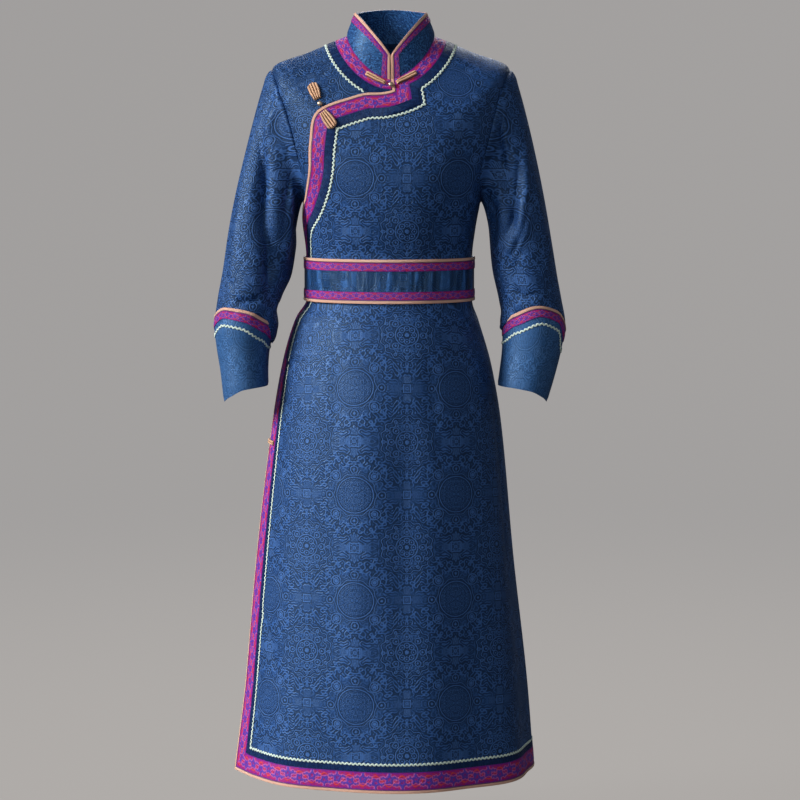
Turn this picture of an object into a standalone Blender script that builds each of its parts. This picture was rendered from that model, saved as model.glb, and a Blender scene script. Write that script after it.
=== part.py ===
"""Mongolian deel robe, in the hollow form it takes when worn, cut and sewn as the real garment is.

Metres, +Z up. The wearer faces -Y and the wearer's left is +X. The origin lies between the
shoulders at the foot of the collar, where the wearer holds the robe up.

Every cloth surface is a function of two chart values: a turn round the body or arm and a drop
along it. A panel is an outline on that chart, netted with triangles and thickened into a wall.
A braid, ribbon or binding takes the panel's own points and moves them out.
"""

import math

import bmesh
import bpy
import numpy as np
from mathutils import Vector
from mathutils.geometry import delaunay_2d_cdt

COLLECTION = "mongolian_deel_robe"

# Thickness of each cloth
CLOTH = 0.0016
TRIM = 0.0011
RIBBON_WALL = 0.0009
RICRAC_WALL = 0.0009
COLLAR_WALL = 0.0030
BELT_WALL = 0.0025

# Gaps between pieces
SEAM = 0.0004               # across a seam, edge to edge
LAY = 0.0004                # under a piece that lies on another
OVERLAP_LIFT = CLOTH + 0.0006
LAP_LIFT = 0.0014           # more lift where the overlap laps round the right side

# Widths of what is sewn along the edges, from the edge inward
BINDING = 0.0065
NECK_BRAID = 0.024
NECK_RIBBON = 0.016
HEM_BRAID = 0.032
HEM_RIBBON = 0.011
RICRAC = 0.005
CUFF_BRAID = 0.014
CUFF_RIBBON = 0.010
COLLAR_BAND = 0.011
BELT_BRAID = 0.015

# Main levels, from the foot of the collar
BELT_TOP_Z = -0.376
BELT_HEIGHT = 0.080
BELT_FOOT_Z = BELT_TOP_Z - BELT_HEIGHT
HEM_Z = -1.335
UNDER_HEM_RISE = 0.012      # the under front is shorter, so that it never shows

# Net sizes
CHART = 0.17                # metres of chart for a radian of turn
CELL_ROUND = 0.034
CELL_DOWN = 0.068
EDGE_STEP = 0.042
NEAR = 0.0004               # chart points closer than this are one
ARM_COLUMNS = 24
BELT_COLUMNS = 40

# The body, ring by ring. drop runs down the cloth; right and left are the half widths to the
# wearer's right and left; each ring has its own level in front, at the sides and behind.
BODY_COLUMNS = ("drop", "right", "left", "z_front", "z_side", "z_back", "y_front", "y_back", "square")
BODY_RINGS = (
    ("neckline", 0.000, 0.078, 0.078, -0.052, 0.023, 0.014, -0.072, 0.058, 2.5),
    ("yoke", 0.055, 0.146, 0.146, -0.100, -0.004, -0.028, -0.098, 0.084, 2.05),
    ("shoulder", 0.124, 0.215, 0.215, -0.156, -0.037, -0.092, -0.114, 0.104, 2.15),
    ("high arm", 0.200, 0.203, 0.205, -0.206, -0.130, -0.162, -0.121, 0.113, 2.3),
    ("mid arm", 0.245, 0.188, 0.190, -0.238, -0.185, -0.208, -0.122, 0.115, 2.3),
    ("low arm", 0.300, 0.171, 0.174, -0.272, -0.236, -0.252, -0.120, 0.112, 2.25),
    ("underarm", 0.340, 0.160, 0.163, -0.300, -0.276, -0.288, -0.117, 0.107, 2.2),
    ("ribs", 0.385, 0.152, 0.153, -0.337, -0.330, -0.333, -0.111, 0.099, 2.15),
    ("belt top", 0.428, 0.148, 0.148, BELT_TOP_Z, BELT_TOP_Z, BELT_TOP_Z, -0.104, 0.093, 2.1),
    ("belt foot", 0.508, 0.148, 0.148, BELT_FOOT_Z, BELT_FOOT_Z, BELT_FOOT_Z, -0.104, 0.093, 2.1),
    ("high hip", 0.546, 0.168, 0.160, -0.494, -0.494, -0.494, -0.117, 0.110, 2.1),
    ("hip", 0.629, 0.190, 0.184, -0.577, -0.577, -0.577, -0.136, 0.136, 2.1),
    ("seat", 0.735, 0.206, 0.202, -0.683, -0.683, -0.683, -0.149, 0.152, 2.1),
    ("knee", 0.994, 0.232, 0.225, -0.942, -0.942, -0.942, -0.168, 0.170, 2.05),
    ("shin", 1.230, 0.252, 0.250, -1.178, -1.178, -1.178, -0.184, 0.184, 2.0),
    ("hem", 1.387, 0.264, 0.262, HEM_Z, HEM_Z, HEM_Z, -0.195, 0.193, 2.0),
)
HEM = 1.387

# Folds of the body, where each lies by turn from the centre front and how it grows and fades
FOLD_COLUMNS = ("turn", "spread", "top", "full", "foot", "rise")
BODY_FOLDS = (
    ("front flute right", -46, 13, 0.56, 1.38, 3.0, 0.0060),
    ("front trough right", -22, 12, 0.58, 1.30, 3.0, -0.0035),
    ("front flute middle", 8, 13, 0.70, 1.38, 3.0, 0.0030),
    ("front trough left", 32, 11, 0.60, 1.38, 3.0, -0.0045),
    ("front flute left", 55, 12, 0.56, 1.38, 3.0, 0.0060),
    ("side trough left", 78, 10, 0.58, 1.38, 3.0, -0.0050),
    ("side flute left", 101, 12, 0.54, 1.38, 3.0, 0.0080),
    ("back trough left", 124, 12, 0.56, 1.38, 3.0, -0.0070),
    ("back flute left", 150, 13, 0.56, 1.38, 3.0, 0.0085),
    ("back trough middle", 178, 12, 0.60, 1.38, 3.0, -0.0060),
    ("back flute right", 206, 13, 0.56, 1.38, 3.0, 0.0085),
    ("back trough right", 232, 12, 0.56, 1.38, 3.0, -0.0065),
    ("chest fold right", -34, 9, 0.20, 0.33, 0.425, -0.0030),
    ("chest fold left", 40, 10, 0.16, 0.30, 0.425, -0.0030),
    ("blade fold left", 150, 13, 0.14, 0.33, 0.425, 0.0040),
    ("blade fold right", 210, 13, 0.14, 0.33, 0.425, 0.0040),
    ("spine hollow", 180, 14, 0.14, 0.33, 0.425, -0.0040),
)

# The armhole, a loop from the shoulder point round the front, the underarm and the back
ARMHOLE_COLUMNS = ("phase", "turn", "drop")
ARMHOLE = (
    ("shoulder point", 0, 90, 0.124),
    ("high front", 45, 66, 0.146),
    ("front", 90, 57, 0.205),
    ("low front", 135, 62, 0.290),
    ("underarm", 180, 90, 0.343),
    ("low back", 225, 116, 0.290),
    ("back", 270, 119, 0.205),
    ("high back", 315, 108, 0.146),
    ("shoulder point again", 360, 90, 0.124),
)

# Level slices of each sleeve and its cuff, below the set-in stretch
SLICE_COLUMNS = ("z", "x", "y", "wide", "deep")
SLEEVE_SLICES = {
    "right": (
        ("upper arm", -0.330, 0.2350, -0.004, 0.0590, 0.070),
        ("elbow", -0.400, 0.2460, -0.008, 0.0600, 0.067),
        ("forearm", -0.455, 0.2600, -0.012, 0.0570, 0.064),
        ("over cuff", -0.500, 0.2675, -0.018, 0.0550, 0.061),
        ("cuff top", -0.545, 0.2710, -0.025, 0.0470, 0.053),
        ("cuff", -0.590, 0.2685, -0.034, 0.0420, 0.049),
        ("wrist", -0.645, 0.2640, -0.045, 0.0400, 0.047),
    ),
    "left": (
        ("upper arm", -0.330, 0.2360, -0.004, 0.0545, 0.070),
        ("elbow", -0.400, 0.2450, -0.008, 0.0570, 0.067),
        ("forearm", -0.455, 0.2560, -0.012, 0.0560, 0.064),
        ("over cuff", -0.500, 0.2630, -0.018, 0.0560, 0.061),
        ("cuff top", -0.545, 0.2585, -0.025, 0.0530, 0.055),
        ("cuff", -0.590, 0.2500, -0.034, 0.0500, 0.050),
        ("wrist", -0.645, 0.2370, -0.045, 0.0460, 0.048),
    ),
}
SET_IN = 0.240              # chart length of the sleeve from the armhole to its first slice
SET_IN_Z = -0.330

# How far the sleeve runs on from the body's slope at the armhole, and into its first slice
CROWN_COLUMNS = ("phase", "leave", "arrive")
CROWN = (
    ("top", 0, 0.012, 0.160),
    ("front", 90, 0.040, 0.100),
    ("underarm", 180, 0.022, 0.022),
    ("back", 270, 0.040, 0.100),
    ("top again", 360, 0.012, 0.160),
)

SLEEVE_FOLDS = {
    "right": (
        ("crown", 0, 55, 0.0, 0.050, 0.24, 0.0085),
        ("front fold", 80, 17, 0.05, 0.20, 0.36, -0.0050),
        ("outer fold", 20, 16, 0.10, 0.24, 0.38, 0.0040),
        ("elbow crease", 120, 18, 0.22, 0.31, 0.38, -0.0050),
        ("back fold", 285, 20, 0.06, 0.22, 0.36, -0.0050),
    ),
    "left": (
        ("crown", 0, 55, 0.0, 0.050, 0.24, 0.0085),
        ("front fold", 95, 17, 0.05, 0.18, 0.34, -0.0045),
        ("outer fold", 45, 16, 0.08, 0.22, 0.36, 0.0040),
        ("elbow crease", 110, 18, 0.22, 0.30, 0.38, -0.0045),
        ("back fold", 275, 20, 0.06, 0.22, 0.36, -0.0050),
    ),
}

# The cuff's arched seam and its slanted mouth, as levels round the arm
CUFF_COLUMNS = ("phase", "seam_z", "mouth_z")
CUFF_LINES = {
    "right": (
        ("outer", 0, -0.486, -0.640),
        ("outer front", 50, -0.466, -0.628),
        ("front", 90, -0.471, -0.615),
        ("inner front", 135, -0.490, -0.611),
        ("inner", 180, -0.508, -0.610),
        ("back", 270, -0.508, -0.618),
        ("outer back", 315, -0.502, -0.632),
        ("outer again", 360, -0.486, -0.640),
    ),
    "left": (
        ("outer", 0, -0.508, -0.640),
        ("outer front", 40, -0.473, -0.630),
        ("front", 80, -0.462, -0.617),
        ("inner front", 130, -0.478, -0.611),
        ("inner", 180, -0.500, -0.610),
        ("back", 270, -0.512, -0.618),
        ("outer back", 315, -0.518, -0.632),
        ("outer again", 360, -0.508, -0.640),
    ),
}

# The overlap's free edge on the chest, as points of the front, and then round the right side
CHEST_EDGE_COLUMNS = ("x", "z")
CHEST_EDGE = (
    ("drop corner", 0.003, -0.0755),
    ("slope high", -0.044, -0.0800),
    ("slope low", -0.100, -0.0960),
    ("frog corner high", -0.126, -0.1075),
    ("frog corner low", -0.1395, -0.127),
    ("chest high", -0.1425, -0.155),
    ("chest low", -0.1440, -0.210),
    ("under the arm", -0.1500, -0.262),
)
SIDE_EDGE_COLUMNS = ("turn", "z")
SIDE_EDGE = (
    ("side", -84, -0.305),
    ("above the belt", -94, -0.345),
    ("belt top", -97, -0.376),
    ("belt foot", -97, -0.456),
    ("below the belt", -95, -0.520),
    ("hip", -91, -0.600),
    ("toggle", -88, -0.715),
    ("knee", -86, -0.950),
    ("shin", -85, -1.170),
    ("hem", -84, HEM_Z),
)
# How far the overlap's free edge swings out from the body under the toggle
SWING_COLUMNS = ("drop", "out")
SWING = (
    ("belt", 0.520, 0.000),
    ("hip", 0.640, 0.002),
    ("toggle", 0.770, 0.005),
    ("knee", 0.994, 0.011),
    ("shin", 1.200, 0.013),
    ("hem", HEM, 0.024),
)
SWING_START = -36           # degrees of turn where the swing begins
SWING_END = -85
SWING_POWER = 2.5
NECK_EASE = 0.028           # drop over which the overlap leaves the neckline's level
LIFT_START = 12             # degrees of turn over which the overlap comes down to the body
LIFT_END = 45
LAP_START = -75             # degrees of turn over which it rises to lap over the right side
LAP_END = -87
# Air between the two fronts, pressed out at the neck and under the belt
AIR_COLUMNS = ("drop", "air")
AIR = (
    ("neckline", 0.000, 0.0000),
    ("chest", 0.060, 0.0018),
    ("ribs", 0.360, 0.0018),
    ("belt top", 0.420, 0.0010),
    ("belt foot", 0.520, 0.0010),
    ("hip", 0.580, 0.0018),
    ("hem", HEM, 0.0018),
)

# The under front's free edge, a little past the centre front
UNDER_EDGE_COLUMNS = ("turn", "drop")
UNDER_EDGE = (
    ("neck", -0.6, 0.0),
    ("throat", 0.8, 0.030),
    ("chest", 4.0, 0.200),
    ("hem", 4.0, HEM - UNDER_HEM_RISE),
)
UNDER_STEP = 0.06
UNDER_VENT_TURN = -88.5     # degrees of turn where the under front ends at the vent
VENT_DROP = 0.777           # drop at which the right side seam ends and the vent opens
BORDER_CHANGE = 0.62        # drop at which the narrow neck border gives way to the hem border
FLAP_CLEAR = 0.0012         # from the flap's edge to the neck border that ends beside it

# The belt's height above the body's base, over the layers that it holds
BELT_SEAT_COLUMNS = ("turn", "lift")
BELT_SEAT = (
    ("centre back", -180, 0.0028),
    ("back right", -125, 0.0030),
    ("right side", -104, 0.0088),
    ("front right", -52, 0.0080),
    ("front", -30, 0.0056),
    ("under edge", 12, 0.0056),
    ("front left", 50, 0.0034),
    ("left side", 90, 0.0028),
    ("centre back again", 180, 0.0028),
)

SLEEVE_ROWS = (0, 0.06, 0.14, 0.24, 0.35, 0.47, 0.59, 0.71, 0.82, 0.91, 1.0)
COLLAR_END_TURN = 0.4       # degrees from the centre front to each end of the collar
COLLAR_SEAT = 0.0032        # from the neckline up to the collar's foot
COLLAR_TOP_Z = 0.0630
COLLAR_DIP = 0.0790         # how far the top falls to the front
COLLAR_VEE = 0.85           # 1 for a straight fall to the centre front, less for a hollow one
COLLAR_BACK_RISE = 0.0080
COLLAR_WIDE = 0.0615        # half width at the top
COLLAR_FRONT = 0.0640       # depth at the top, in front and behind
COLLAR_BACK = 0.0520
COLLAR_LEAN = 0.0080        # more depth at the centre front
COLLAR_BULGE = 0.0040
COLLAR_COLUMNS = (4.3, 11.5)            # degrees from each end to the columns of its binding and braid

# Frog fastenings of satin cord, as bars on the front: (x, z) of both ends, and what the
# trims under a bar lift it by
FROG_COLUMNS = ("x0", "z0", "x1", "z1", "width", "cords", "under")
FROGS = {
    "frog_collar_right": (-0.0450, -0.0440, -0.0100, -0.0625, 0.0090, 2, 0.0017),
    "frog_collar_left": (0.0470, -0.0430, 0.0110, -0.0625, 0.0090, 2, 0.0023),
    "frog_shoulder_upper": (-0.1424, -0.0623, -0.1308, -0.0895, 0.0200, 4, 0.0),
    "frog_shoulder_lower": (-0.1212, -0.1120, -0.1005, -0.1401, 0.0200, 4, 0.0016),
}
ON_OVERLAP = ("frog_collar_left", "frog_shoulder_lower", "knot_collar")
CORD_HEIGHT = 0.0042
CORD_VALLEY = 0.55         # height between two cords, as a share of a cord's
FROG_STEPS = 4
# Ball buttons on the front: x, z and what lifts them off the panel
KNOTS = {
    "knot_collar": (0.0005, -0.0670, 0.0015),
    "knot_shoulder": (-0.1262, -0.0985, -0.0008),
}
KNOT_RADIUS = 0.0047
KNOT_FLAT = 0.85

# The toggle that closes the right side at the top of the vent
TOGGLE_START = -76          # degrees of turn
TOGGLE_EDGE = -88.5
TOGGLE_END = -97
TOGGLE_DROP = 0.771
TOGGLE_WIDTH = 0.009
TOGGLE_WALL = 0.0028

PALETTE = {
    "brocade": ((0.036, 0.083, 0.205), 0.55, 0.0),
    "brocade_under": ((0.030, 0.070, 0.175), 0.60, 0.0),
    "satin": ((0.030, 0.070, 0.170), 0.35, 0.0),
    "collar_satin": ((0.025, 0.080, 0.260), 0.38, 0.0),
    "braid": ((0.290, 0.020, 0.110), 0.60, 0.0),
    "ribbon": ((0.012, 0.022, 0.080), 0.40, 0.0),
    "peach_satin": ((0.640, 0.380, 0.240), 0.42, 0.0),
    "mint_ricrac": ((0.420, 0.560, 0.500), 0.65, 0.0),
    "gold_metal": ((0.550, 0.360, 0.130), 0.35, 0.9),
}


# ---------------------------------------------------------------- tables and curves

def table(columns, rows):
    """The rows as one array for each named column."""
    return {name: np.array([row[i + 1] for row in rows], float) for i, name in enumerate(columns)}


def spline(at, knots, values):
    """Smooth curve through a table's values, never past them, and straight beyond its ends."""
    at = np.asarray(at, float)
    step = np.diff(knots)
    rise = np.diff(values) / step
    slope = np.concatenate([rise[:1], np.zeros(len(knots) - 2), rise[-1:]])
    steady = rise[:-1] * rise[1:] > 0
    near, far = rise[:-1][steady], rise[1:][steady]
    slope[1:-1][steady] = 2 * near * far / (near + far)
    i = np.clip(np.searchsorted(knots, at, side="right") - 1, 0, len(knots) - 2)
    t = np.clip((at - knots[i]) / step[i], 0.0, 1.0)
    inside = (
        values[i] * (1 + 2 * t) * (1 - t) ** 2
        + values[i + 1] * t * t * (3 - 2 * t)
        + step[i] * slope[i] * t * (1 - t) ** 2
        - step[i] * slope[i + 1] * t * t * (1 - t)
    )
    return inside + slope[0] * np.minimum(at - knots[0], 0) + slope[-1] * np.maximum(at - knots[-1], 0)


def loop_spline(phase, degrees, values):
    """Smooth closed curve through values given for 0 to 360 degrees."""
    turns = np.concatenate([degrees[-3:-1] - 360, degrees, degrees[1:3] + 360])
    wrapped = np.concatenate([values[-3:-1], values, values[1:3]])
    return spline(np.degrees(np.mod(phase, 2 * math.pi)), turns, wrapped)


def ease(t):
    """0 to 1 with soft ends."""
    t = np.clip(t, 0.0, 1.0)
    return t * t * (3 - 2 * t)


def folds(rows, angle, drop):
    """Height of all the folds at an angle and drop."""
    total = np.zeros(np.broadcast(angle, drop).shape)
    for _name, turn, spread, top, full, foot, rise in rows:
        off = np.mod(np.degrees(angle) - turn + 180, 360) - 180
        along = ease((drop - top) / (full - top)) * (1 - ease((drop - full) / (foot - full)))
        total = total + rise * along * np.exp(-(off / spread) ** 2)
    return total


def unit(vectors):
    return vectors / np.linalg.norm(vectors, axis=-1, keepdims=True)


# ---------------------------------------------------------------- cloth surfaces

BODY = table(BODY_COLUMNS, BODY_RINGS)


def body(turn, drop):
    """The robe's body: a point for a turn from the centre front (radians) and a drop."""
    turn, drop = np.broadcast_arrays(np.asarray(turn, float), np.asarray(drop, float))
    ring = {name: spline(drop, BODY["drop"], BODY[name]) for name in BODY_COLUMNS[1:]}
    s = np.sin(turn)
    c = np.cos(turn)
    reach = (np.abs(s) ** ring["square"] + np.abs(c) ** ring["square"]) ** (-1 / ring["square"])
    wide = np.where(s < 0, ring["right"], ring["left"])
    deep = np.where(c > 0, -ring["y_front"], ring["y_back"])
    lift = folds(BODY_FOLDS, turn, drop)
    x = (wide * reach + lift) * s
    y = -(deep * reach + lift) * c
    middle = np.where(c > 0, ring["z_front"], ring["z_back"])
    z = middle + (ring["z_side"] - middle) * s * s
    return np.stack([x, y, z], -1)


def normals(surface, u, v, step=0.0015):
    """Outward unit normals of a surface."""
    across = surface(u + step / CHART, v) - surface(u - step / CHART, v)
    down = surface(u, v + step) - surface(u, v - step)
    return unit(np.cross(down, across))


SWING_OUT = table(SWING_COLUMNS, SWING)
BETWEEN = table(AIR_COLUMNS, AIR)


def overlap(turn, drop):
    """The outer front, lying over the under front and swinging free at its right edge."""
    turn, drop = np.broadcast_arrays(np.asarray(turn, float), np.asarray(drop, float))
    air = np.interp(drop, BETWEEN["drop"], BETWEEN["air"])
    degrees = np.degrees(turn)
    lift = (OVERLAP_LIFT + air) * ease(drop / NECK_EASE)
    lift = lift * ease((LIFT_END - degrees) / (LIFT_END - LIFT_START))
    lift = lift + LAP_LIFT * ease((LAP_START - degrees) / (LAP_START - LAP_END))
    swing = spline(drop, SWING_OUT["drop"], SWING_OUT["out"]) * (drop > SWING_OUT["drop"][0])
    part = np.clip((degrees - SWING_START) / (SWING_END - SWING_START), 0, 1.3)
    lift = lift + swing * part ** SWING_POWER
    return body(turn, drop) + normals(body, turn, drop) * lift[..., None]


HOLE = table(ARMHOLE_COLUMNS, ARMHOLE)
CROWN_REACH = table(CROWN_COLUMNS, CROWN)
SIDE = {"right": -1, "left": 1}


def armhole(side, phase):
    """Turn and drop of the armhole, from the shoulder point round the front."""
    turn = loop_spline(phase, HOLE["phase"], HOLE["turn"])
    drop = loop_spline(phase, HOLE["phase"], HOLE["drop"])
    return SIDE[side] * np.radians(turn), drop


def sleeve_slice(side, phase, z):
    """A level slice of the sleeve, phase 0 outside, 90 degrees in front, 180 at the body."""
    slices = table(SLICE_COLUMNS, SLEEVE_SLICES[side])
    depth = -z
    at = {name: spline(depth, -slices["z"], slices[name]) for name in SLICE_COLUMNS[1:]}
    x = SIDE[side] * (at["x"] + at["wide"] * np.cos(phase))
    y = at["y"] - at["deep"] * np.sin(phase)
    return np.stack([x, y, z + np.zeros_like(x)], -1)


def sleeve(side):
    """The sleeve's surface: phase round the arm, and a run from the armhole to the mouth."""
    def surface(phase, run):
        phase, run = np.broadcast_arrays(np.asarray(phase, float), np.asarray(run, float))
        t = np.clip(run / SET_IN, 0, 1)[..., None]
        turn, drop = armhole(side, phase)
        start = body(turn, drop)
        ahead = body(*armhole(side, phase + 0.02)) - body(*armhole(side, phase - 0.02))
        facing = normals(body, turn, drop)
        into = unit(np.cross(facing, ahead)) * SIDE[side]
        first = sleeve_slice(side, phase, np.full(phase.shape, SET_IN_Z))
        below = sleeve_slice(side, phase, np.full(phase.shape, SET_IN_Z - 0.004))
        heading = unit(below - first)
        leave = loop_spline(phase, CROWN_REACH["phase"], CROWN_REACH["leave"])[..., None]
        arrive = loop_spline(phase, CROWN_REACH["phase"], CROWN_REACH["arrive"])[..., None]
        crown = (
            start * (1 - t) ** 3
            + (start + into * leave) * 3 * t * (1 - t) ** 2
            + (first - heading * arrive) * 3 * t * t * (1 - t)
            + first * t ** 3
        )
        arm = sleeve_slice(side, phase, SET_IN_Z - np.maximum(run - SET_IN, 0))
        point = np.where(run[..., None] < SET_IN, crown, arm)
        lift = folds(SLEEVE_FOLDS[side], phase, run)
        out = np.stack([SIDE[side] * np.cos(phase), -np.sin(phase), np.zeros_like(phase)], -1)
        return point + out * lift[..., None]
    return surface


def sleeve_normals(side, phase, run, step=0.002):
    surface = sleeve(side)
    round_arm = surface(phase + step / 0.06, run) - surface(phase - step / 0.06, run)
    low = np.maximum(run - step, 0)
    down = surface(phase, run + step) - surface(phase, low)
    return unit(np.cross(round_arm, down)) * SIDE[side]


def collar(turn, rise):
    """The standing collar: turn from the centre front, rise 0 at the neckline to 1 at its top."""
    turn, rise = np.broadcast_arrays(np.asarray(turn, float), np.asarray(rise, float))
    foot = body(turn, 0.0)
    s = np.sin(turn)
    c = np.cos(turn)
    front = np.clip(c, 0, 1)
    deep = np.where(c > 0, COLLAR_FRONT, COLLAR_BACK)
    fall = COLLAR_DIP * (1 - np.abs(s) ** COLLAR_VEE)
    top_z = COLLAR_TOP_Z + np.where(c > 0, -fall, COLLAR_BACK_RISE * c * c)
    top = np.stack([COLLAR_WIDE * s, -deep * c - COLLAR_LEAN * front, top_z], -1)
    bulge = (rise * (1 - rise) * COLLAR_BULGE)[..., None] * np.stack([s, -c, np.zeros_like(s)], -1)
    return foot + (top - foot) * rise[..., None] + bulge


# ---------------------------------------------------------------- lines on the chart

def chart_line(surface, line):
    return surface(line[:, 0], line[:, 1])


def spaced(surface, line, step):
    """The line with even points, a whole number of steps apart."""
    dense_t = np.linspace(0, len(line) - 1, 40 * (len(line) - 1) + 1)
    index = np.arange(len(line), dtype=float)
    dense = np.stack([spline(dense_t, index, line[:, k]) for k in (0, 1)], 1)
    gaps = np.linalg.norm(np.diff(chart_line(surface, dense), axis=0), axis=1)
    length = np.concatenate([[0], np.cumsum(gaps)])
    count = max(1, round(length[-1] / step))
    at = np.linspace(0, length[-1], count + 1)
    return np.stack([np.interp(at, length, dense[:, k]) for k in (0, 1)], 1)


def on_front(x, z, surface=body):
    """Turn and drop of the points of the front at x and z."""
    x = np.asarray(x, float)
    z = np.asarray(z, float)
    turn = np.clip(x / 0.17, -1.3, 1.3)
    drop = np.clip(-z - 0.03, 0.02, HEM)
    for _ in range(30):
        here = surface(turn, drop)
        du = (surface(turn + 1e-4, drop) - here) / 1e-4
        dv = (surface(turn, drop + 1e-4) - here) / 1e-4
        ex = x - here[..., 0]
        ez = z - here[..., 2]
        det = du[..., 0] * dv[..., 2] - dv[..., 0] * du[..., 2]
        turn = np.clip(turn + 0.7 * (ex * dv[..., 2] - ez * dv[..., 0]) / det, -1.6, 1.6)
        drop = np.clip(drop + 0.7 * (du[..., 0] * ez - du[..., 2] * ex) / det, 0.0, HEM)
    return np.stack([turn, drop], -1)


def at_level(turn, z):
    """Drop at which the body reaches a level, for given turns in degrees."""
    drops = np.linspace(0, HEM, 1400)
    found = []
    for angle, level in zip(np.atleast_1d(turn), np.atleast_1d(z)):
        heights = body(math.radians(angle), drops)[:, 2]
        found.append((math.radians(angle), float(np.interp(-level, -heights, drops))))
    return np.array(found)


def offset_line(surface, line, distance, steps=6):
    """The line moved sideways on the surface, mitred at corners and trimmed where it crosses."""
    edge = chart_line(surface, spaced_along(line, 6))
    for _ in range(steps):
        point = chart_line(surface, line)
        normal = normals(surface, line[:, 0], line[:, 1])
        run = np.diff(point, axis=0)
        before = unit(np.vstack([run[:1], run]))
        after = unit(np.vstack([run, run[-1:]]))
        left_before = unit(np.cross(normal, before))
        left_after = unit(np.cross(normal, after))
        lean = 1 + np.sum(left_before * left_after, 1, keepdims=True)
        move = (left_before + left_after) / np.maximum(lean, 0.35) * (distance / steps)
        du = (surface(line[:, 0] + 1e-4, line[:, 1]) - point) / 1e-4
        dv = (surface(line[:, 0], line[:, 1] + 1e-4) - point) / 1e-4
        uu, uv, vv = (np.sum(a * b, 1) for a, b in ((du, du), (du, dv), (dv, dv)))
        mu = np.sum(du * move, 1)
        mv = np.sum(dv * move, 1)
        det = uu * vv - uv * uv
        line = line + np.stack([(mu * vv - mv * uv) / det, (mv * uu - mu * uv) / det], 1)
    point = chart_line(surface, line)
    away = np.linalg.norm(point[:, None] - edge[None], axis=2).min(1)
    return line[away > abs(distance) * 0.93]


def spaced_along(line, parts):
    """The line with each segment cut into equal parts."""
    t = np.linspace(0, len(line) - 1, parts * (len(line) - 1) + 1)
    return np.stack([np.interp(t, np.arange(len(line)), line[:, k]) for k in (0, 1)], 1)


def inside(points, polygon):
    """Which chart points lie inside a closed outline."""
    x, y = points[:, 0:1], points[:, 1:2]
    ax, ay = polygon[:, 0], polygon[:, 1]
    bx, by = np.roll(ax, -1), np.roll(ay, -1)
    with np.errstate(divide="ignore", invalid="ignore"):
        cross = ((ay > y) != (by > y)) & (x < (bx - ax) * (y - ay) / (by - ay) + ax)
    return cross.sum(1) % 2 == 1


# ---------------------------------------------------------------- nets and walls

class Net:
    """Triangles over a panel's outline, with every trim's edge as a line of the net."""

    def __init__(self, surface, outline, lines=(), cell=(CELL_ROUND, CELL_DOWN), clear=0.30):
        self.surface = surface
        scale = np.array([CHART, 1.0])
        points = []
        edges = []
        for line, closed in [(outline, True)] + [(one, False) for one in lines]:
            start = len(points)
            points.extend(line * scale)
            edges.extend((start + i, start + i + 1) for i in range(len(line) - 1))
            if closed:
                edges.append((start + len(line) - 1, start))
        fixed = np.array(points)
        ends = np.array([(fixed[a], fixed[b]) for a, b in edges])
        low, high = (outline * scale).min(0), (outline * scale).max(0)
        for i, v in enumerate(np.arange(low[1] + cell[1] / 2, high[1], cell[1])):
            row = np.arange(low[0] + cell[0] * (0.25 + 0.5 * (i % 2)), high[0], cell[0])
            row = np.stack([row, np.full(len(row), v)], 1)
            row = row[inside(row, outline * scale)]
            if len(row):
                points.extend(row[gap_to(row, ends) > cell[0] * clear + 0.002])
        result = delaunay_2d_cdt([Vector(p) for p in points], edges, [], 0, NEAR)
        chart = np.array([(p[0], p[1]) for p in result[0]])
        faces = np.array([f for f in result[2] if len(f) == 3])
        keep = inside(chart[faces].mean(1), outline * scale)
        self.faces = faces[keep]
        self.chart = chart / scale
        self.points = surface(self.chart[:, 0], self.chart[:, 1])
        self.normals = normals(surface, self.chart[:, 0], self.chart[:, 1])
        middle = self.points[self.faces]
        turned = np.cross(middle[:, 1] - middle[:, 0], middle[:, 2] - middle[:, 0])
        wrong = np.sum(turned * self.normals[self.faces].mean(1), 1) < 0
        self.faces[wrong] = self.faces[wrong][:, ::-1]
        self.middles = self.chart[self.faces].mean(1)

    def within(self, *polygons):
        """Which triangles lie in any of the chart outlines."""
        chosen = np.zeros(len(self.faces), bool)
        for polygon in polygons:
            chosen |= inside(self.middles, polygon)
        return chosen


def gap_to(points, ends):
    """Distance from each point to the nearest of the segments."""
    a = ends[:, 0][None]
    b = ends[:, 1][None]
    p = points[:, None]
    t = np.clip(((p - a) * (b - a)).sum(2) / np.maximum(((b - a) ** 2).sum(2), 1e-12), 0, 1)
    return np.linalg.norm(p - a - (b - a) * t[..., None], axis=2).min(1)


def material(name):
    if name in bpy.data.materials:
        return bpy.data.materials[name]
    colour, roughness, metallic = PALETTE[name]
    made = bpy.data.materials.new(name)
    made.use_nodes = True
    shader = made.node_tree.nodes["Principled BSDF"]
    shader.inputs["Base Color"].default_value = (*colour, 1.0)
    shader.inputs["Roughness"].default_value = roughness
    shader.inputs["Metallic"].default_value = metallic
    made.diffuse_color = (*colour, 1.0)
    return made


def place(mesh, name, finish):
    obj = bpy.data.objects.new(name, mesh)
    own = material(finish).copy()
    own.name = name
    mesh.materials.append(own)
    collection.objects.link(obj)
    return obj


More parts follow.
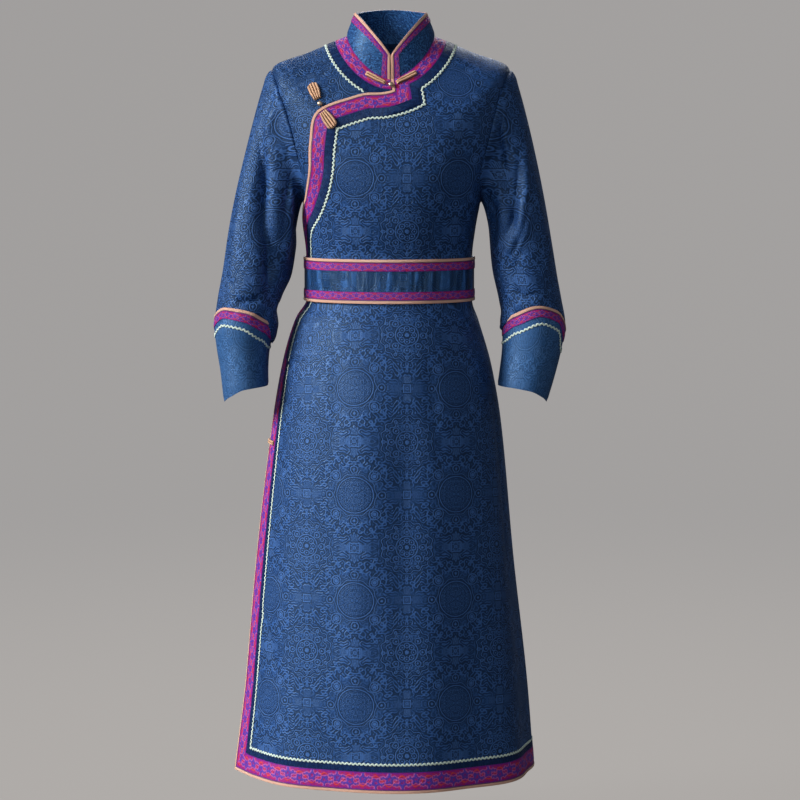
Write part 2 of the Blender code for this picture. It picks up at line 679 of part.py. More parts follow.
def wall(name, finish, points, out, faces, low, high, draw_in=SEAM / 2):
    """A closed wall on a net: its inner face at low and its outer face at high along out.

    The rim is drawn in, so that two pieces that share a line stay a seam's gap apart.
    """
    used, faces = np.unique(faces, return_inverse=True)
    faces = faces.reshape(-1, 3)
    points = points[used].copy()
    out = out[used]
    rim = {}
    for a, b, c in faces:
        for edge in ((a, b), (b, c), (c, a)):
            if edge[::-1] in rim:
                del rim[edge[::-1]]
            else:
                rim[edge] = True
    inward = np.zeros_like(points)
    for a, b in rim:
        side = unit(np.cross(out[a] + out[b], points[b] - points[a]))
        for end in (a, b):
            other = inward[end]
            if np.any(other):
                inward[end] = (other + side) / max(1 + float(other @ side), 0.4)
            else:
                inward[end] = side
    points += inward * draw_in
    count = len(points)
    verts = np.vstack([points + out * low, points + out * high])
    polygons = [tuple(int(i) for i in f[::-1]) for f in faces]
    polygons += [tuple(int(i) + count for i in f) for f in faces]
    for a, b in rim:
        a, b = int(a), int(b)
        polygons.append((a, b, b + count))
        polygons.append((a, b + count, a + count))
    mesh = bpy.data.meshes.new(name)
    mesh.from_pydata(verts.tolist(), [], polygons)
    mesh.validate()
    mesh.shade_smooth()
    mesh.set_sharp_from_angle(angle=math.radians(50))
    return place(mesh, name, finish)


def grid_faces(rows, columns, closed=False):
    """Two triangles for each cell of a grid, with the row and column of each."""
    across = columns if closed else columns - 1
    faces = []
    cells = []
    for i in range(rows - 1):
        for j in range(across):
            a = i * columns + j
            b = i * columns + (j + 1) % columns
            c = a + columns
            d = b + columns
            faces += [(a, c, d), (a, d, b)]
            cells += [(i, j), (i, j)]
    return np.array(faces), np.array(cells)


def facing(points, out, faces):
    """The faces, each turned to look along its normals."""
    corner = points[faces]
    turned = np.cross(corner[:, 1] - corner[:, 0], corner[:, 2] - corner[:, 0])
    faces = faces.copy()
    wrong = np.sum(turned * out[faces].mean(1), 1) < 0
    faces[wrong] = faces[wrong][:, ::-1]
    return faces


# ---------------------------------------------------------------- shared seam lines

def degrees_line(start, end, count, drop):
    turn = np.radians(np.linspace(start, end, count + 1))
    return np.stack([turn, np.full(count + 1, drop)], 1)


def seam_down(turn, top, foot, step=CELL_DOWN):
    count = max(1, round(abs(foot - top) / step))
    drop = np.linspace(top, foot, count + 1)
    return np.stack([np.full(count + 1, math.radians(turn)), drop], 1)


PHASES = np.linspace(0, 2 * math.pi, ARM_COLUMNS, endpoint=False)
NECK_STEPS = 8             # steps of a quarter of the neckline
HEM_STEPS = 9              # steps of a quarter of the hem
SHOULDER_DROP = ARMHOLE[0][3]
UNDERARM_DROP = ARMHOLE[4][3]


def armhole_half(side, which):
    """The armhole's front half from shoulder to underarm, or its back half."""
    half = ARM_COLUMNS // 2
    steps = np.arange(half + 1)
    phase = steps * 2 * math.pi / ARM_COLUMNS
    if which == "back":
        phase = -phase
    turn, drop = armhole(side, phase)
    if which == "back" and side == "left":
        turn = np.where(turn < 0, turn + 2 * math.pi, turn)
    return np.stack([turn, drop], 1)


def join(*lines):
    """Lines end to end, with doubled points left out."""
    points = [lines[0][0]]
    for line in lines:
        for point in line:
            if np.linalg.norm((point - points[-1]) * (CHART, 1)) > 1e-5:
                points.append(point)
    if np.linalg.norm((points[0] - points[-1]) * (CHART, 1)) < 1e-5:
        points.pop()
    return np.array(points)


def overlap_edge():
    """The overlap's free edge: from the drop corner down the chest and side to the hem."""
    chest = table(CHEST_EDGE_COLUMNS, CHEST_EDGE)
    side = table(SIDE_EDGE_COLUMNS, SIDE_EDGE)
    points = np.vstack([on_front(chest["x"], chest["z"]), at_level(side["turn"], side["z"])])
    points[-1, 1] = HEM
    return spaced(overlap, points, EDGE_STEP)


def strip(surface, line, width):
    """Chart outline of the band between a line and its offset, and the offset."""
    inner = offset_line(surface, line, width)
    return np.vstack([line, inner[::-1]]), inner


# ---------------------------------------------------------------- body panels

WAIST_DROPS = (0.428, 0.508, 0.530)     # lines of the net at the belt's edges and under it
WAIST_STEP = 360 // BELT_COLUMNS        # so that the cloth under the belt has the belt's columns


def waist_lines(start, end):
    count = abs(end - start) // WAIST_STEP
    return [degrees_line(start, end, count, drop) for drop in WAIST_DROPS]


def lay_trims(net, name, bound, braid, ribbon, ricrac):
    """The binding, braid, ribbon and ric-rac on a panel, made of its own triangles."""
    bottom = CLOTH + LAY
    for part, chosen, finish, thick in (
        ("binding", bound, "peach_satin", TRIM),
        ("braid", braid, "braid", TRIM),
        ("ribbon", ribbon, "ribbon", RIBBON_WALL),
        ("ricrac", ricrac, "mint_ricrac", RICRAC_WALL),
    ):
        if chosen.any():
            wall(f"{name}_{part}", finish, net.points, net.normals, net.faces[chosen],
                 bottom, bottom + thick)


def build_overlap():
    """The outer front and all that is sewn along its neck, flap, side and hem."""
    neck = degrees_line(90, 0, NECK_STEPS, 0.0)
    edge = overlap_edge()
    drop_line = np.vstack([neck[-1], edge[0]])
    hem = np.vstack([edge[-1], degrees_line(-70, 90, HEM_STEPS * 2 - 3, HEM)])
    outline = join(
        neck, drop_line, edge, hem, seam_down(90, HEM, UNDERARM_DROP),
        armhole_half("left", "front")[::-1], seam_down(90, SHOULDER_DROP, 0.0, 0.03),
    )
    beyond_neck = np.vstack([[math.radians(97), 0.0], neck])
    beyond_hem = np.vstack([hem, [math.radians(96), HEM]])
    turning = int(np.argmin(np.abs(edge[:, 1] - BORDER_CHANGE)))
    high = join(drop_line, edge[:turning + 2])
    low = join(edge[turning - 1:], beyond_hem)
    across = np.array([edge[turning], [math.radians(-50), edge[turning, 1]]])
    at_neck = [strip(overlap, beyond_neck, d) for d in np.cumsum((NECK_BRAID, NECK_RIBBON, RICRAC))]
    at_flap = [strip(overlap, high, d) for d in np.cumsum((BINDING, NECK_BRAID, NECK_RIBBON, RICRAC))]
    at_hem = [strip(overlap, low, d) for d in np.cumsum((BINDING, HEM_BRAID, HEM_RIBBON, RICRAC))]
    lines = [inner for _band, inner in at_neck + at_flap + at_hem] + waist_lines(-99, 90)
    lines.append(across)
    net = Net(overlap, outline, lines)
    wall("front_overlap", "brocade", net.points, net.normals, net.faces, 0.0, CLOTH)
    is_high = net.middles[:, 1] < edge[turning, 1]
    neck_bands = [net.within(band) for band, _inner in at_neck]
    edge_bands = [
        np.where(is_high, net.within(flap[0]), net.within(foot[0]))
        for flap, foot in zip(at_flap, at_hem)
    ]
    bands = [edge_bands[0]] + [neck | edge for neck, edge in zip(neck_bands, edge_bands[1:])]
    lay_trims(net, "overlap", *nested(bands))


def build_under():
    """The under front, plain but for the neck border that shows above the overlap."""
    neck = degrees_line(-90, 0, NECK_STEPS, 0.0)[:-1]
    foot = HEM - UNDER_HEM_RISE
    edge = table(UNDER_EDGE_COLUMNS, UNDER_EDGE)
    free = spaced(body, np.stack([np.radians(edge["turn"]), edge["drop"]], 1), UNDER_STEP)
    hem = degrees_line(UNDER_EDGE[-1][1], UNDER_VENT_TURN, HEM_STEPS, foot)
    vent = seam_down(UNDER_VENT_TURN, foot, VENT_DROP + 0.03)
    outline = join(
        neck, free, hem, vent, seam_down(-90, VENT_DROP, UNDERARM_DROP),
        armhole_half("right", "front")[::-1], seam_down(-90, SHOULDER_DROP, 0.0, 0.03),
    )
    beyond = np.vstack([[math.radians(-97), 0.0], neck, [0.02, 0.0]])
    bands = [strip(body, beyond, -d) for d in np.cumsum((NECK_BRAID, NECK_RIBBON, RICRAC))]
    flap = join(np.vstack([[0.0, 0.0], overlap_edge()[:4]]))
    cover = offset_line(overlap, flap, -FLAP_CLEAR)
    covered = np.vstack([cover, [[0.5, cover[-1, 1]], [0.5, -0.02], [cover[0, 0], -0.02]]])
    net = Net(body, outline, [inner for _band, inner in bands] + [cover] + waist_lines(-90, 9))
    wall("front_under", "brocade_under", net.points, net.normals, net.faces, 0.0, CLOTH)
    shown = ~net.within(covered)
    none = np.zeros(len(net.faces), bool)
    lay_trims(net, "under", none, *nested([net.within(band) & shown for band, _inner in bands]))


def build_back():
    """The back, in one piece, with the neck and hem borders carried round it."""
    neck = degrees_line(270, 90, NECK_STEPS * 2, 0.0)
    hem = degrees_line(90, 270, HEM_STEPS * 2, HEM)
    right_hole = armhole_half("right", "back")
    right_hole[:, 0] += 2 * math.pi
    outline = join(
        neck, seam_down(90, 0.0, SHOULDER_DROP, 0.03), armhole_half("left", "back"),
        seam_down(90, UNDERARM_DROP, HEM), hem, seam_down(270, HEM, UNDERARM_DROP),
        right_hole[::-1], seam_down(270, SHOULDER_DROP, 0.0, 0.03),
    )
    beyond_neck = np.vstack([[math.radians(277), 0.0], neck, [math.radians(83), 0.0]])
    beyond_hem = np.vstack([[math.radians(84), HEM], hem, [math.radians(276), HEM]])
    at_neck = [strip(body, beyond_neck, d) for d in np.cumsum((NECK_BRAID, NECK_RIBBON, RICRAC))]
    at_hem = [strip(body, beyond_hem, d) for d in np.cumsum((BINDING, HEM_BRAID, HEM_RIBBON, RICRAC))]
    lines = [inner for _band, inner in at_neck + at_hem] + waist_lines(90, 270)
    net = Net(body, outline, lines)
    wall("back", "brocade", net.points, net.normals, net.faces, 0.0, CLOTH)
    neck_bands = [net.within(band) for band, _inner in at_neck]
    hem_bands = [net.within(band) for band, _inner in at_hem]
    none = np.zeros(len(net.faces), bool)
    lay_trims(net, "back_neck", none, *nested(neck_bands))
    lay_trims(net, "back_hem", *nested(hem_bands))


def nested(bands):
    """Each band without the ones inside it."""
    taken = np.zeros(len(bands[0]), bool)
    rings = []
    for band in bands:
        rings.append(band & ~taken)
        taken |= band
    return rings


# ---------------------------------------------------------------- sleeves and cuffs

CUFF = {side: table(CUFF_COLUMNS, rows) for side, rows in CUFF_LINES.items()}


def cuff_line(side, phase, name):
    return loop_spline(phase, CUFF[side]["phase"], CUFF[side][name])


def sleeve_grid(side, levels):
    """Points and normals of the sleeve for rows of runs, one run for each phase."""
    runs = np.array(levels)
    phases = np.broadcast_to(PHASES, runs.shape)
    points = sleeve(side)(phases, runs)
    out = sleeve_normals(side, phases, runs)
    faces, cells = grid_faces(len(runs), ARM_COLUMNS, closed=True)
    points = points.reshape(-1, 3)
    out = out.reshape(-1, 3)
    return points, out, facing(points, out, faces), cells


def run_at(z):
    return SET_IN + SET_IN_Z - z


def build_sleeve(side):
    seam = run_at(cuff_line(side, PHASES, "seam_z"))
    points, out, faces, _cells = sleeve_grid(side, [seam * t for t in SLEEVE_ROWS])
    wall(f"sleeve_{side}", "brocade", points, out, faces, 0.0, CLOTH)


def build_cuff(side):
    """The cuff under its arched seam, with its binding, braid, ribbon and ric-rac."""
    seam = cuff_line(side, PHASES, "seam_z")
    mouth = cuff_line(side, PHASES, "mouth_z")
    ahead, behind = (cuff_line(side, PHASES + step, "seam_z") for step in (0.05, -0.05))
    slope = (ahead - behind) / (0.1 * 0.05)
    steep = np.sqrt(1 + slope ** 2)
    bands = np.concatenate([[0.0], np.cumsum((BINDING, CUFF_BRAID, CUFF_RIBBON, RICRAC))])
    levels = [run_at(seam - d * steep) for d in bands]
    last = seam - bands[-1] * steep
    levels += [run_at(last + (mouth - last) * t) for t in (0.5, 1.0)]
    points, out, faces, cells = sleeve_grid(side, levels)
    wall(f"cuff_{side}", "satin", points, out, faces, 0.0, CLOTH)
    bottom = CLOTH + LAY
    for row, part, finish, thick in (
        (0, "binding", "peach_satin", TRIM),
        (1, "braid", "braid", TRIM),
        (3, "ricrac", "mint_ricrac", RICRAC_WALL),
    ):
        wall(f"cuff_{side}_{part}", finish, points, out, faces[cells[:, 0] == row],
             bottom, bottom + thick)


# ---------------------------------------------------------------- collar

def build_collar():
    """The standing collar, open at the front, bound along its top and both front ends."""
    neck = np.degrees(np.linspace(0, 2 * math.pi, NECK_STEPS * 4 + 1))
    ends = [COLLAR_END_TURN] + [COLLAR_END_TURN + t for t in COLLAR_COLUMNS]
    between = [t for t in neck if ends[-1] + 2 < t < 358 - ends[-1]]
    turns = ends + between + [360 - t for t in reversed(ends)]
    turn = np.radians(turns)
    tall = np.linalg.norm(collar(turn, 1.0) - collar(turn, 0.0), axis=1)
    band = 1 - (BINDING + COLLAR_BAND) / tall
    rise = np.array([np.zeros(len(turn)), band, 1 - BINDING / tall, np.ones(len(turn))])
    phases = np.broadcast_to(turn, rise.shape)
    points = collar(phases, rise)
    across = collar(phases + 0.01, rise) - collar(phases - 0.01, rise)
    up = collar(phases, rise + 0.02) - collar(phases, rise - 0.02)
    out = unit(np.cross(across, up)).reshape(-1, 3)
    points = points.reshape(-1, 3)
    points[:, 2] += COLLAR_SEAT
    faces, cells = grid_faces(len(rise), len(turn))
    faces = facing(points, out, faces)
    wall("collar", "collar_satin", points, out, faces, 0.0, COLLAR_WALL)
    last = len(turn) - 2
    edge = np.minimum(np.minimum(cells[:, 1], last - cells[:, 1]), 2 - cells[:, 0])
    bottom = COLLAR_WALL + LAY
    wall("collar_binding", "peach_satin", points, out, faces[edge == 0], bottom, bottom + TRIM)
    wall("collar_braid", "braid", points, out, faces[edge == 1], bottom, bottom + TRIM)


# ---------------------------------------------------------------- belt

BELT_LIFT = table(BELT_SEAT_COLUMNS, BELT_SEAT)


def build_belt():
    """The belt, a stiff satin band with a braid and a binding along each edge."""
    turn = np.linspace(-math.pi, math.pi, BELT_COLUMNS, endpoint=False)
    lift = spline(np.degrees(turn), BELT_LIFT["turn"], BELT_LIFT["lift"])
    ring = body(turn, WAIST_DROPS[0])
    out = normals(body, turn, np.full(BELT_COLUMNS, np.mean(WAIST_DROPS[:2])))
    out[:, 2] = 0
    out = unit(out)
    middle = BELT_HEIGHT - 2 * (BINDING + BELT_BRAID)
    down = np.cumsum((0, BINDING, BELT_BRAID, middle, BELT_BRAID, BINDING))
    points = []
    for depth in down:
        row = ring + out * lift[:, None]
        row[:, 2] = BELT_TOP_Z - depth
        points.append(row)
    points = np.vstack(points)
    out = np.tile(out, (len(down), 1))
    faces, cells = grid_faces(len(down), BELT_COLUMNS, closed=True)
    faces = facing(points, out, faces)
    wall("belt", "satin", points, out, faces, 0.0, BELT_WALL, draw_in=0)
    bottom = BELT_WALL + LAY
    for row, name, finish in (
        (0, "belt_binding_top", "peach_satin"),
        (1, "belt_braid_top", "braid"),
        (3, "belt_braid_foot", "braid"),
        (4, "belt_binding_foot", "peach_satin"),
    ):
        wall(name, finish, points, out, faces[cells[:, 0] == row], bottom, bottom + TRIM)


# ---------------------------------------------------------------- frogs and knots

def build_frog(name):
    """A frog's bar: cords side by side, sewn flat on the front."""
    x0, z0, x1, z1, width, cords, under = FROGS[name]
    surface = overlap if name in ON_OVERLAP else body
    level = CLOTH + LAY + under
    start = np.array([x0, z0])
    run = np.array([x1, z1]) - start
    side = np.array([-run[1], run[0]]) / np.linalg.norm(run)
    along = np.linspace(0, 1, FROG_STEPS + 1)[:, None, None]
    across = (np.linspace(-0.5, 0.5, cords * 2 + 1) * width)[None, :, None]
    spots = (start + run * along + side * across).reshape(-1, 2)
    chart = on_front(spots[:, 0], spots[:, 1], surface)
    points = surface(chart[:, 0], chart[:, 1])
    out = normals(surface, chart[:, 0], chart[:, 1])
    faces, _cells = grid_faces(FROG_STEPS + 1, cords * 2 + 1)
    faces = facing(points, out, faces)
    ridge = np.tile(np.arange(cords * 2 + 1) % 2, FROG_STEPS + 1)
    high = level + CORD_HEIGHT * np.where(ridge, 1.0, CORD_VALLEY)
    wall(name, "peach_satin", points, out, faces, level, high[:, None], 0)


def build_knot(name):
    """The ball button that joins a frog's two bars."""
    x, z, under = KNOTS[name]
    surface = overlap if name in ON_OVERLAP else body
    turn, drop = on_front(x, z, surface)
    level = CLOTH + LAY + under
    out = normals(surface, turn, drop)
    mesh = bpy.data.meshes.new(name)
    ball = bmesh.new()
    bmesh.ops.create_uvsphere(ball, u_segments=10, v_segments=6, radius=KNOT_RADIUS)
    bmesh.ops.scale(ball, vec=(1.0, 1.0, KNOT_FLAT), verts=ball.verts)
    ball.to_mesh(mesh)
    ball.free()
    mesh.shade_smooth()
    obj = place(mesh, name, "gold_metal")
    obj.location = surface(turn, drop) + out * (level + KNOT_RADIUS * KNOT_FLAT)
    obj.rotation_mode = "QUATERNION"
    obj.rotation_quaternion = Vector(out).to_track_quat("Z", "Y")


def build_toggle():
    """The small strap over the overlap's edge, down to the back panel behind it."""
    over = CLOTH + TRIM + 3 * LAY
    edge = math.radians(TOGGLE_EDGE)
    rows = []
    outs = []
    for turn in np.interp(range(FROG_STEPS + 1), (0, 2, FROG_STEPS), (TOGGLE_START, TOGGLE_EDGE, TOGGLE_END)):
        turn = math.radians(turn)
        drop = TOGGLE_DROP + np.linspace(-0.5, 0.5, 5) * TOGGLE_WIDTH
        on_edge = overlap(edge, drop) + normals(overlap, np.full(5, edge), drop) * over
        out = normals(overlap, np.full(5, max(turn, edge)), drop)
        if turn >= edge:
            point = overlap(turn, drop) + out * over
        else:
            part = (turn - edge) / (math.radians(TOGGLE_END) - edge)
            far = np.full(5, math.radians(TOGGLE_END))
            landed = body(far, drop) + normals(body, far, drop) * (CLOTH + LAY)
            point = on_edge + (landed - on_edge) * part + out * 0.0006 * math.sin(part * math.pi)
        rows.append(point)
        outs.append(out)
    points = np.vstack(rows)
    out = np.vstack(outs)
    faces, _cells = grid_faces(FROG_STEPS + 1, 5)
    faces = facing(points, out, faces)
    high = np.tile([CORD_VALLEY, 1, CORD_VALLEY, 1, CORD_VALLEY], FROG_STEPS + 1) * TOGGLE_WALL
    wall("side_toggle", "peach_satin", points, out, faces, 0.0, high[:, None], 0)


def clear_objects():
    for obj in list(bpy.data.objects):
        bpy.data.objects.remove(obj, do_unlink=True)


clear_objects()
collection = bpy.data.collections.new(COLLECTION)
bpy.context.scene.collection.children.link(collection)
build_overlap()
build_under()
build_back()
for hand in SIDE:
    build_sleeve(hand)
    build_cuff(hand)
build_collar()
build_belt()
for frog in FROGS:
    build_frog(frog)
for ball in KNOTS:
    build_knot(ball)
build_toggle()
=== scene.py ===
"""The mongolian deel robe as it looks: fine cloth, braids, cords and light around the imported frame.

Metres, in the frame's own axes: +Z up, -Y to the wearer's front, +X to the wearer's left.
"""

import math

import bmesh
import bpy
import numpy as np
from mathutils import Matrix, Vector
from mathutils.geometry import delaunay_2d_cdt


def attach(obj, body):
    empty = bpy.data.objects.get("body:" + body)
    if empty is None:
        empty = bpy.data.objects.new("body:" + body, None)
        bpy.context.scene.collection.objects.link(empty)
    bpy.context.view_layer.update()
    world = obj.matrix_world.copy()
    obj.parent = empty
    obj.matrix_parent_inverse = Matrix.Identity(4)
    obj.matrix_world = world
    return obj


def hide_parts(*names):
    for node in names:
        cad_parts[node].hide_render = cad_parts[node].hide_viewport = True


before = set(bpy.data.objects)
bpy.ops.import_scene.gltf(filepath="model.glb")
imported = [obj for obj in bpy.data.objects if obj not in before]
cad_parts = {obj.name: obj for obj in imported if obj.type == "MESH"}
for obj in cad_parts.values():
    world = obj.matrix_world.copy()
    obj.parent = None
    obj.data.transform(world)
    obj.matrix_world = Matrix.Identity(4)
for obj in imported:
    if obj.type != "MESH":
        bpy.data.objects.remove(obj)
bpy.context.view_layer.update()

# Thickness of each cloth
CLOTH = 0.0016
TRIM = 0.0011
RIBBON_WALL = 0.0009
COLLAR_WALL = 0.0030
BELT_WALL = 0.0025

# Gaps between pieces
LAY = 0.0004                # under a piece that lies on another
SINK = 0.0002               # a trim's inner face, above the cloth's own
DRAW_IN = 0.0001            # how far a piece's rim is drawn in at a seam
OVERLAP_LIFT = CLOTH + 0.0006
LAP_LIFT = 0.0014           # more lift where the overlap laps round the right side

# Widths of what is sewn along the edges, from the edge inward
BINDING = 0.0065
NECK_BRAID = 0.024
NECK_RIBBON = 0.016
HEM_BRAID = 0.032
HEM_RIBBON = 0.011
RICRAC = 0.005
CUFF_BRAID = 0.014
CUFF_RIBBON = 0.010
COLLAR_BAND = 0.011
BELT_BRAID = 0.015

# Main levels, from the foot of the collar
BELT_TOP_Z = -0.376
BELT_HEIGHT = 0.080
BELT_FOOT_Z = BELT_TOP_Z - BELT_HEIGHT
HEM_Z = -1.335
UNDER_HEM_RISE = 0.012      # the under front is shorter, so that it never shows

FLOOR_Z = -1.46             # the soles of the wearer's boots

# Net sizes
CHART = 0.17                # metres of chart for a radian of turn
CELL = 0.0075               # side of a triangle in the body's nets
ROW = 0.87                  # height of a row, in cells, for near even triangles
CROWD = 0.45                # what the net's points keep from its lines, in cells
EDGE_STEP = 0.007
NEAR = 0.0004               # chart points closer than this are one
NUDGE = 1e-4                # step on the chart for a slope
ARM_COLUMNS = 96

# The body, ring by ring. drop runs down the cloth; right and left are the half widths to the
# wearer's right and left; each ring has its own level in front, at the sides and behind.
BODY_COLUMNS = (
    "drop", "right", "left", "z_front", "z_side", "z_back", "y_front", "y_back", "square",
)
BODY_RINGS = (
    ("neckline", 0.000, 0.078, 0.078, -0.052, 0.023, 0.014, -0.072, 0.058, 2.5),
    ("yoke", 0.055, 0.146, 0.146, -0.100, -0.004, -0.028, -0.098, 0.084, 2.05),
    ("shoulder", 0.124, 0.215, 0.215, -0.156, -0.037, -0.092, -0.114, 0.104, 2.15),
    ("high arm", 0.200, 0.203, 0.205, -0.206, -0.130, -0.162, -0.121, 0.113, 2.3),
    ("mid arm", 0.245, 0.188, 0.190, -0.238, -0.185, -0.208, -0.122, 0.115, 2.3),
    ("low arm", 0.300, 0.171, 0.174, -0.272, -0.236, -0.252, -0.120, 0.112, 2.25),
    ("underarm", 0.340, 0.160, 0.163, -0.300, -0.276, -0.288, -0.117, 0.107, 2.2),
    ("ribs", 0.385, 0.152, 0.153, -0.337, -0.330, -0.333, -0.111, 0.099, 2.15),
    ("belt top", 0.428, 0.148, 0.148, BELT_TOP_Z, BELT_TOP_Z, BELT_TOP_Z, -0.104, 0.093, 2.1),
    ("belt foot", 0.508, 0.148, 0.148, BELT_FOOT_Z, BELT_FOOT_Z, BELT_FOOT_Z, -0.104, 0.093, 2.1),
    ("high hip", 0.546, 0.168, 0.160, -0.494, -0.494, -0.494, -0.117, 0.110, 2.1),
    ("hip", 0.629, 0.190, 0.184, -0.577, -0.577, -0.577, -0.136, 0.136, 2.1),
    ("seat", 0.735, 0.206, 0.202, -0.683, -0.683, -0.683, -0.149, 0.152, 2.1),
    ("knee", 0.994, 0.232, 0.225, -0.942, -0.942, -0.942, -0.168, 0.170, 2.05),
    ("shin", 1.230, 0.252, 0.250, -1.178, -1.178, -1.178, -0.184, 0.184, 2.0),
    ("hem", 1.387, 0.264, 0.262, HEM_Z, HEM_Z, HEM_Z, -0.195, 0.193, 2.0),
)
HEM = 1.387

# Folds of the body, where each lies by turn from the centre front and how it grows and fades
FOLD_COLUMNS = ("turn", "spread", "top", "full", "foot", "rise")
BODY_FOLDS = (
    ("front flute right", -46, 13, 0.56, 1.38, 3.0, 0.0060),
    ("front trough right", -22, 12, 0.58, 1.30, 3.0, -0.0035),
    ("front flute middle", 8, 13, 0.70, 1.38, 3.0, 0.0030),
    ("front trough left", 32, 11, 0.60, 1.38, 3.0, -0.0045),
    ("front flute left", 55, 12, 0.56, 1.38, 3.0, 0.0060),
    ("side trough left", 78, 10, 0.58, 1.38, 3.0, -0.0050),
    ("side flute left", 101, 12, 0.54, 1.38, 3.0, 0.0080),
    ("back trough left", 124, 12, 0.56, 1.38, 3.0, -0.0070),
    ("back flute left", 150, 13, 0.56, 1.38, 3.0, 0.0085),
    ("back trough middle", 178, 12, 0.60, 1.38, 3.0, -0.0060),
    ("back flute right", 206, 13, 0.56, 1.38, 3.0, 0.0085),
    ("back trough right", 232, 12, 0.56, 1.38, 3.0, -0.0065),
    ("chest fold right", -34, 9, 0.20, 0.33, 0.425, -0.0030),
    ("chest fold left", 40, 10, 0.16, 0.30, 0.425, -0.0030),
    ("blade fold left", 150, 13, 0.14, 0.33, 0.425, 0.0040),
    ("blade fold right", 210, 13, 0.14, 0.33, 0.425, 0.0040),
    ("spine hollow", 180, 14, 0.14, 0.33, 0.425, -0.0040),
)

# The armhole, a loop from the shoulder point round the front, the underarm and the back
ARMHOLE_COLUMNS = ("phase", "turn", "drop")
ARMHOLE = (
    ("shoulder point", 0, 90, 0.124),
    ("high front", 45, 66, 0.146),
    ("front", 90, 57, 0.205),
    ("low front", 135, 62, 0.290),
    ("underarm", 180, 90, 0.343),
    ("low back", 225, 116, 0.290),
    ("back", 270, 119, 0.205),
    ("high back", 315, 108, 0.146),
    ("shoulder point again", 360, 90, 0.124),
)

# Level slices of each sleeve and its cuff, below the set-in stretch
SLICE_COLUMNS = ("z", "x", "y", "wide", "deep")
SLEEVE_SLICES = {
    "right": (
        ("upper arm", -0.330, 0.2350, -0.004, 0.0590, 0.070),
        ("elbow", -0.400, 0.2460, -0.008, 0.0600, 0.067),
        ("forearm", -0.455, 0.2600, -0.012, 0.0570, 0.064),
        ("over cuff", -0.500, 0.2675, -0.018, 0.0550, 0.061),
        ("cuff top", -0.545, 0.2710, -0.025, 0.0470, 0.053),
        ("cuff", -0.590, 0.2685, -0.034, 0.0420, 0.049),
        ("wrist", -0.645, 0.2640, -0.045, 0.0400, 0.047),
    ),
    "left": (
        ("upper arm", -0.330, 0.2360, -0.004, 0.0545, 0.070),
        ("elbow", -0.400, 0.2450, -0.008, 0.0570, 0.067),
        ("forearm", -0.455, 0.2560, -0.012, 0.0560, 0.064),
        ("over cuff", -0.500, 0.2630, -0.018, 0.0560, 0.061),
        ("cuff top", -0.545, 0.2585, -0.025, 0.0530, 0.055),
        ("cuff", -0.590, 0.2500, -0.034, 0.0500, 0.050),
        ("wrist", -0.645, 0.2370, -0.045, 0.0460, 0.048),
    ),
}
SET_IN = 0.240              # chart length of the sleeve from the armhole to its first slice
SET_IN_Z = -0.330

# How far the sleeve runs on from the body's slope at the armhole, and into its first slice
CROWN_COLUMNS = ("phase", "leave", "arrive")
CROWN = (
    ("top", 0, 0.012, 0.160),
    ("front", 90, 0.040, 0.100),
    ("underarm", 180, 0.022, 0.022),
    ("back", 270, 0.040, 0.100),
    ("top again", 360, 0.012, 0.160),
)

SLEEVE_FOLDS = {
    "right": (
        ("crown", 0, 55, 0.0, 0.050, 0.24, 0.0085),
        ("front fold", 80, 17, 0.05, 0.20, 0.36, -0.0050),
        ("outer fold", 20, 16, 0.10, 0.24, 0.38, 0.0040),
        ("elbow crease", 120, 18, 0.22, 0.31, 0.38, -0.0050),
        ("back fold", 285, 20, 0.06, 0.22, 0.36, -0.0050),
    ),
    "left": (
        ("crown", 0, 55, 0.0, 0.050, 0.24, 0.0085),
        ("front fold", 95, 17, 0.05, 0.18, 0.34, -0.0045),
        ("outer fold", 45, 16, 0.08, 0.22, 0.36, 0.0040),
        ("elbow crease", 110, 18, 0.22, 0.30, 0.38, -0.0045),
        ("back fold", 275, 20, 0.06, 0.22, 0.36, -0.0050),
    ),
}

# The cuff's arched seam and its slanted mouth, as levels round the arm
CUFF_COLUMNS = ("phase", "seam_z", "mouth_z")
CUFF_LINES = {
    "right": (
        ("outer", 0, -0.486, -0.640),
        ("outer front", 50, -0.466, -0.628),
        ("front", 90, -0.471, -0.615),
        ("inner front", 135, -0.490, -0.611),
        ("inner", 180, -0.508, -0.610),
        ("back", 270, -0.508, -0.618),
        ("outer back", 315, -0.502, -0.632),
        ("outer again", 360, -0.486, -0.640),
    ),
    "left": (
        ("outer", 0, -0.508, -0.640),
        ("outer front", 40, -0.473, -0.630),
        ("front", 80, -0.462, -0.617),
        ("inner front", 130, -0.478, -0.611),
        ("inner", 180, -0.500, -0.610),
        ("back", 270, -0.512, -0.618),
        ("outer back", 315, -0.518, -0.632),
        ("outer again", 360, -0.508, -0.640),
    ),
}

# The overlap's free edge on the chest, as points of the front, and then round the right side
CHEST_EDGE_COLUMNS = ("x", "z")
CHEST_EDGE = (
    ("drop corner", 0.003, -0.0755),
    ("slope high", -0.044, -0.0800),
    ("slope low", -0.100, -0.0960),
    ("frog corner high", -0.126, -0.1075),
    ("frog corner low", -0.1395, -0.127),
    ("chest high", -0.1425, -0.155),
    ("chest low", -0.1440, -0.210),
    ("under the arm", -0.1500, -0.262),
)
SIDE_EDGE_COLUMNS = ("turn", "z")
SIDE_EDGE = (
    ("side", -84, -0.305),
    ("above the belt", -94, -0.345),
    ("belt top", -97, -0.376),
    ("belt foot", -97, -0.456),
    ("below the belt", -95, -0.520),
    ("hip", -91, -0.600),
    ("toggle", -88, -0.715),
    ("knee", -86, -0.950),
    ("shin", -85, -1.170),
    ("hem", -84, HEM_Z),
)
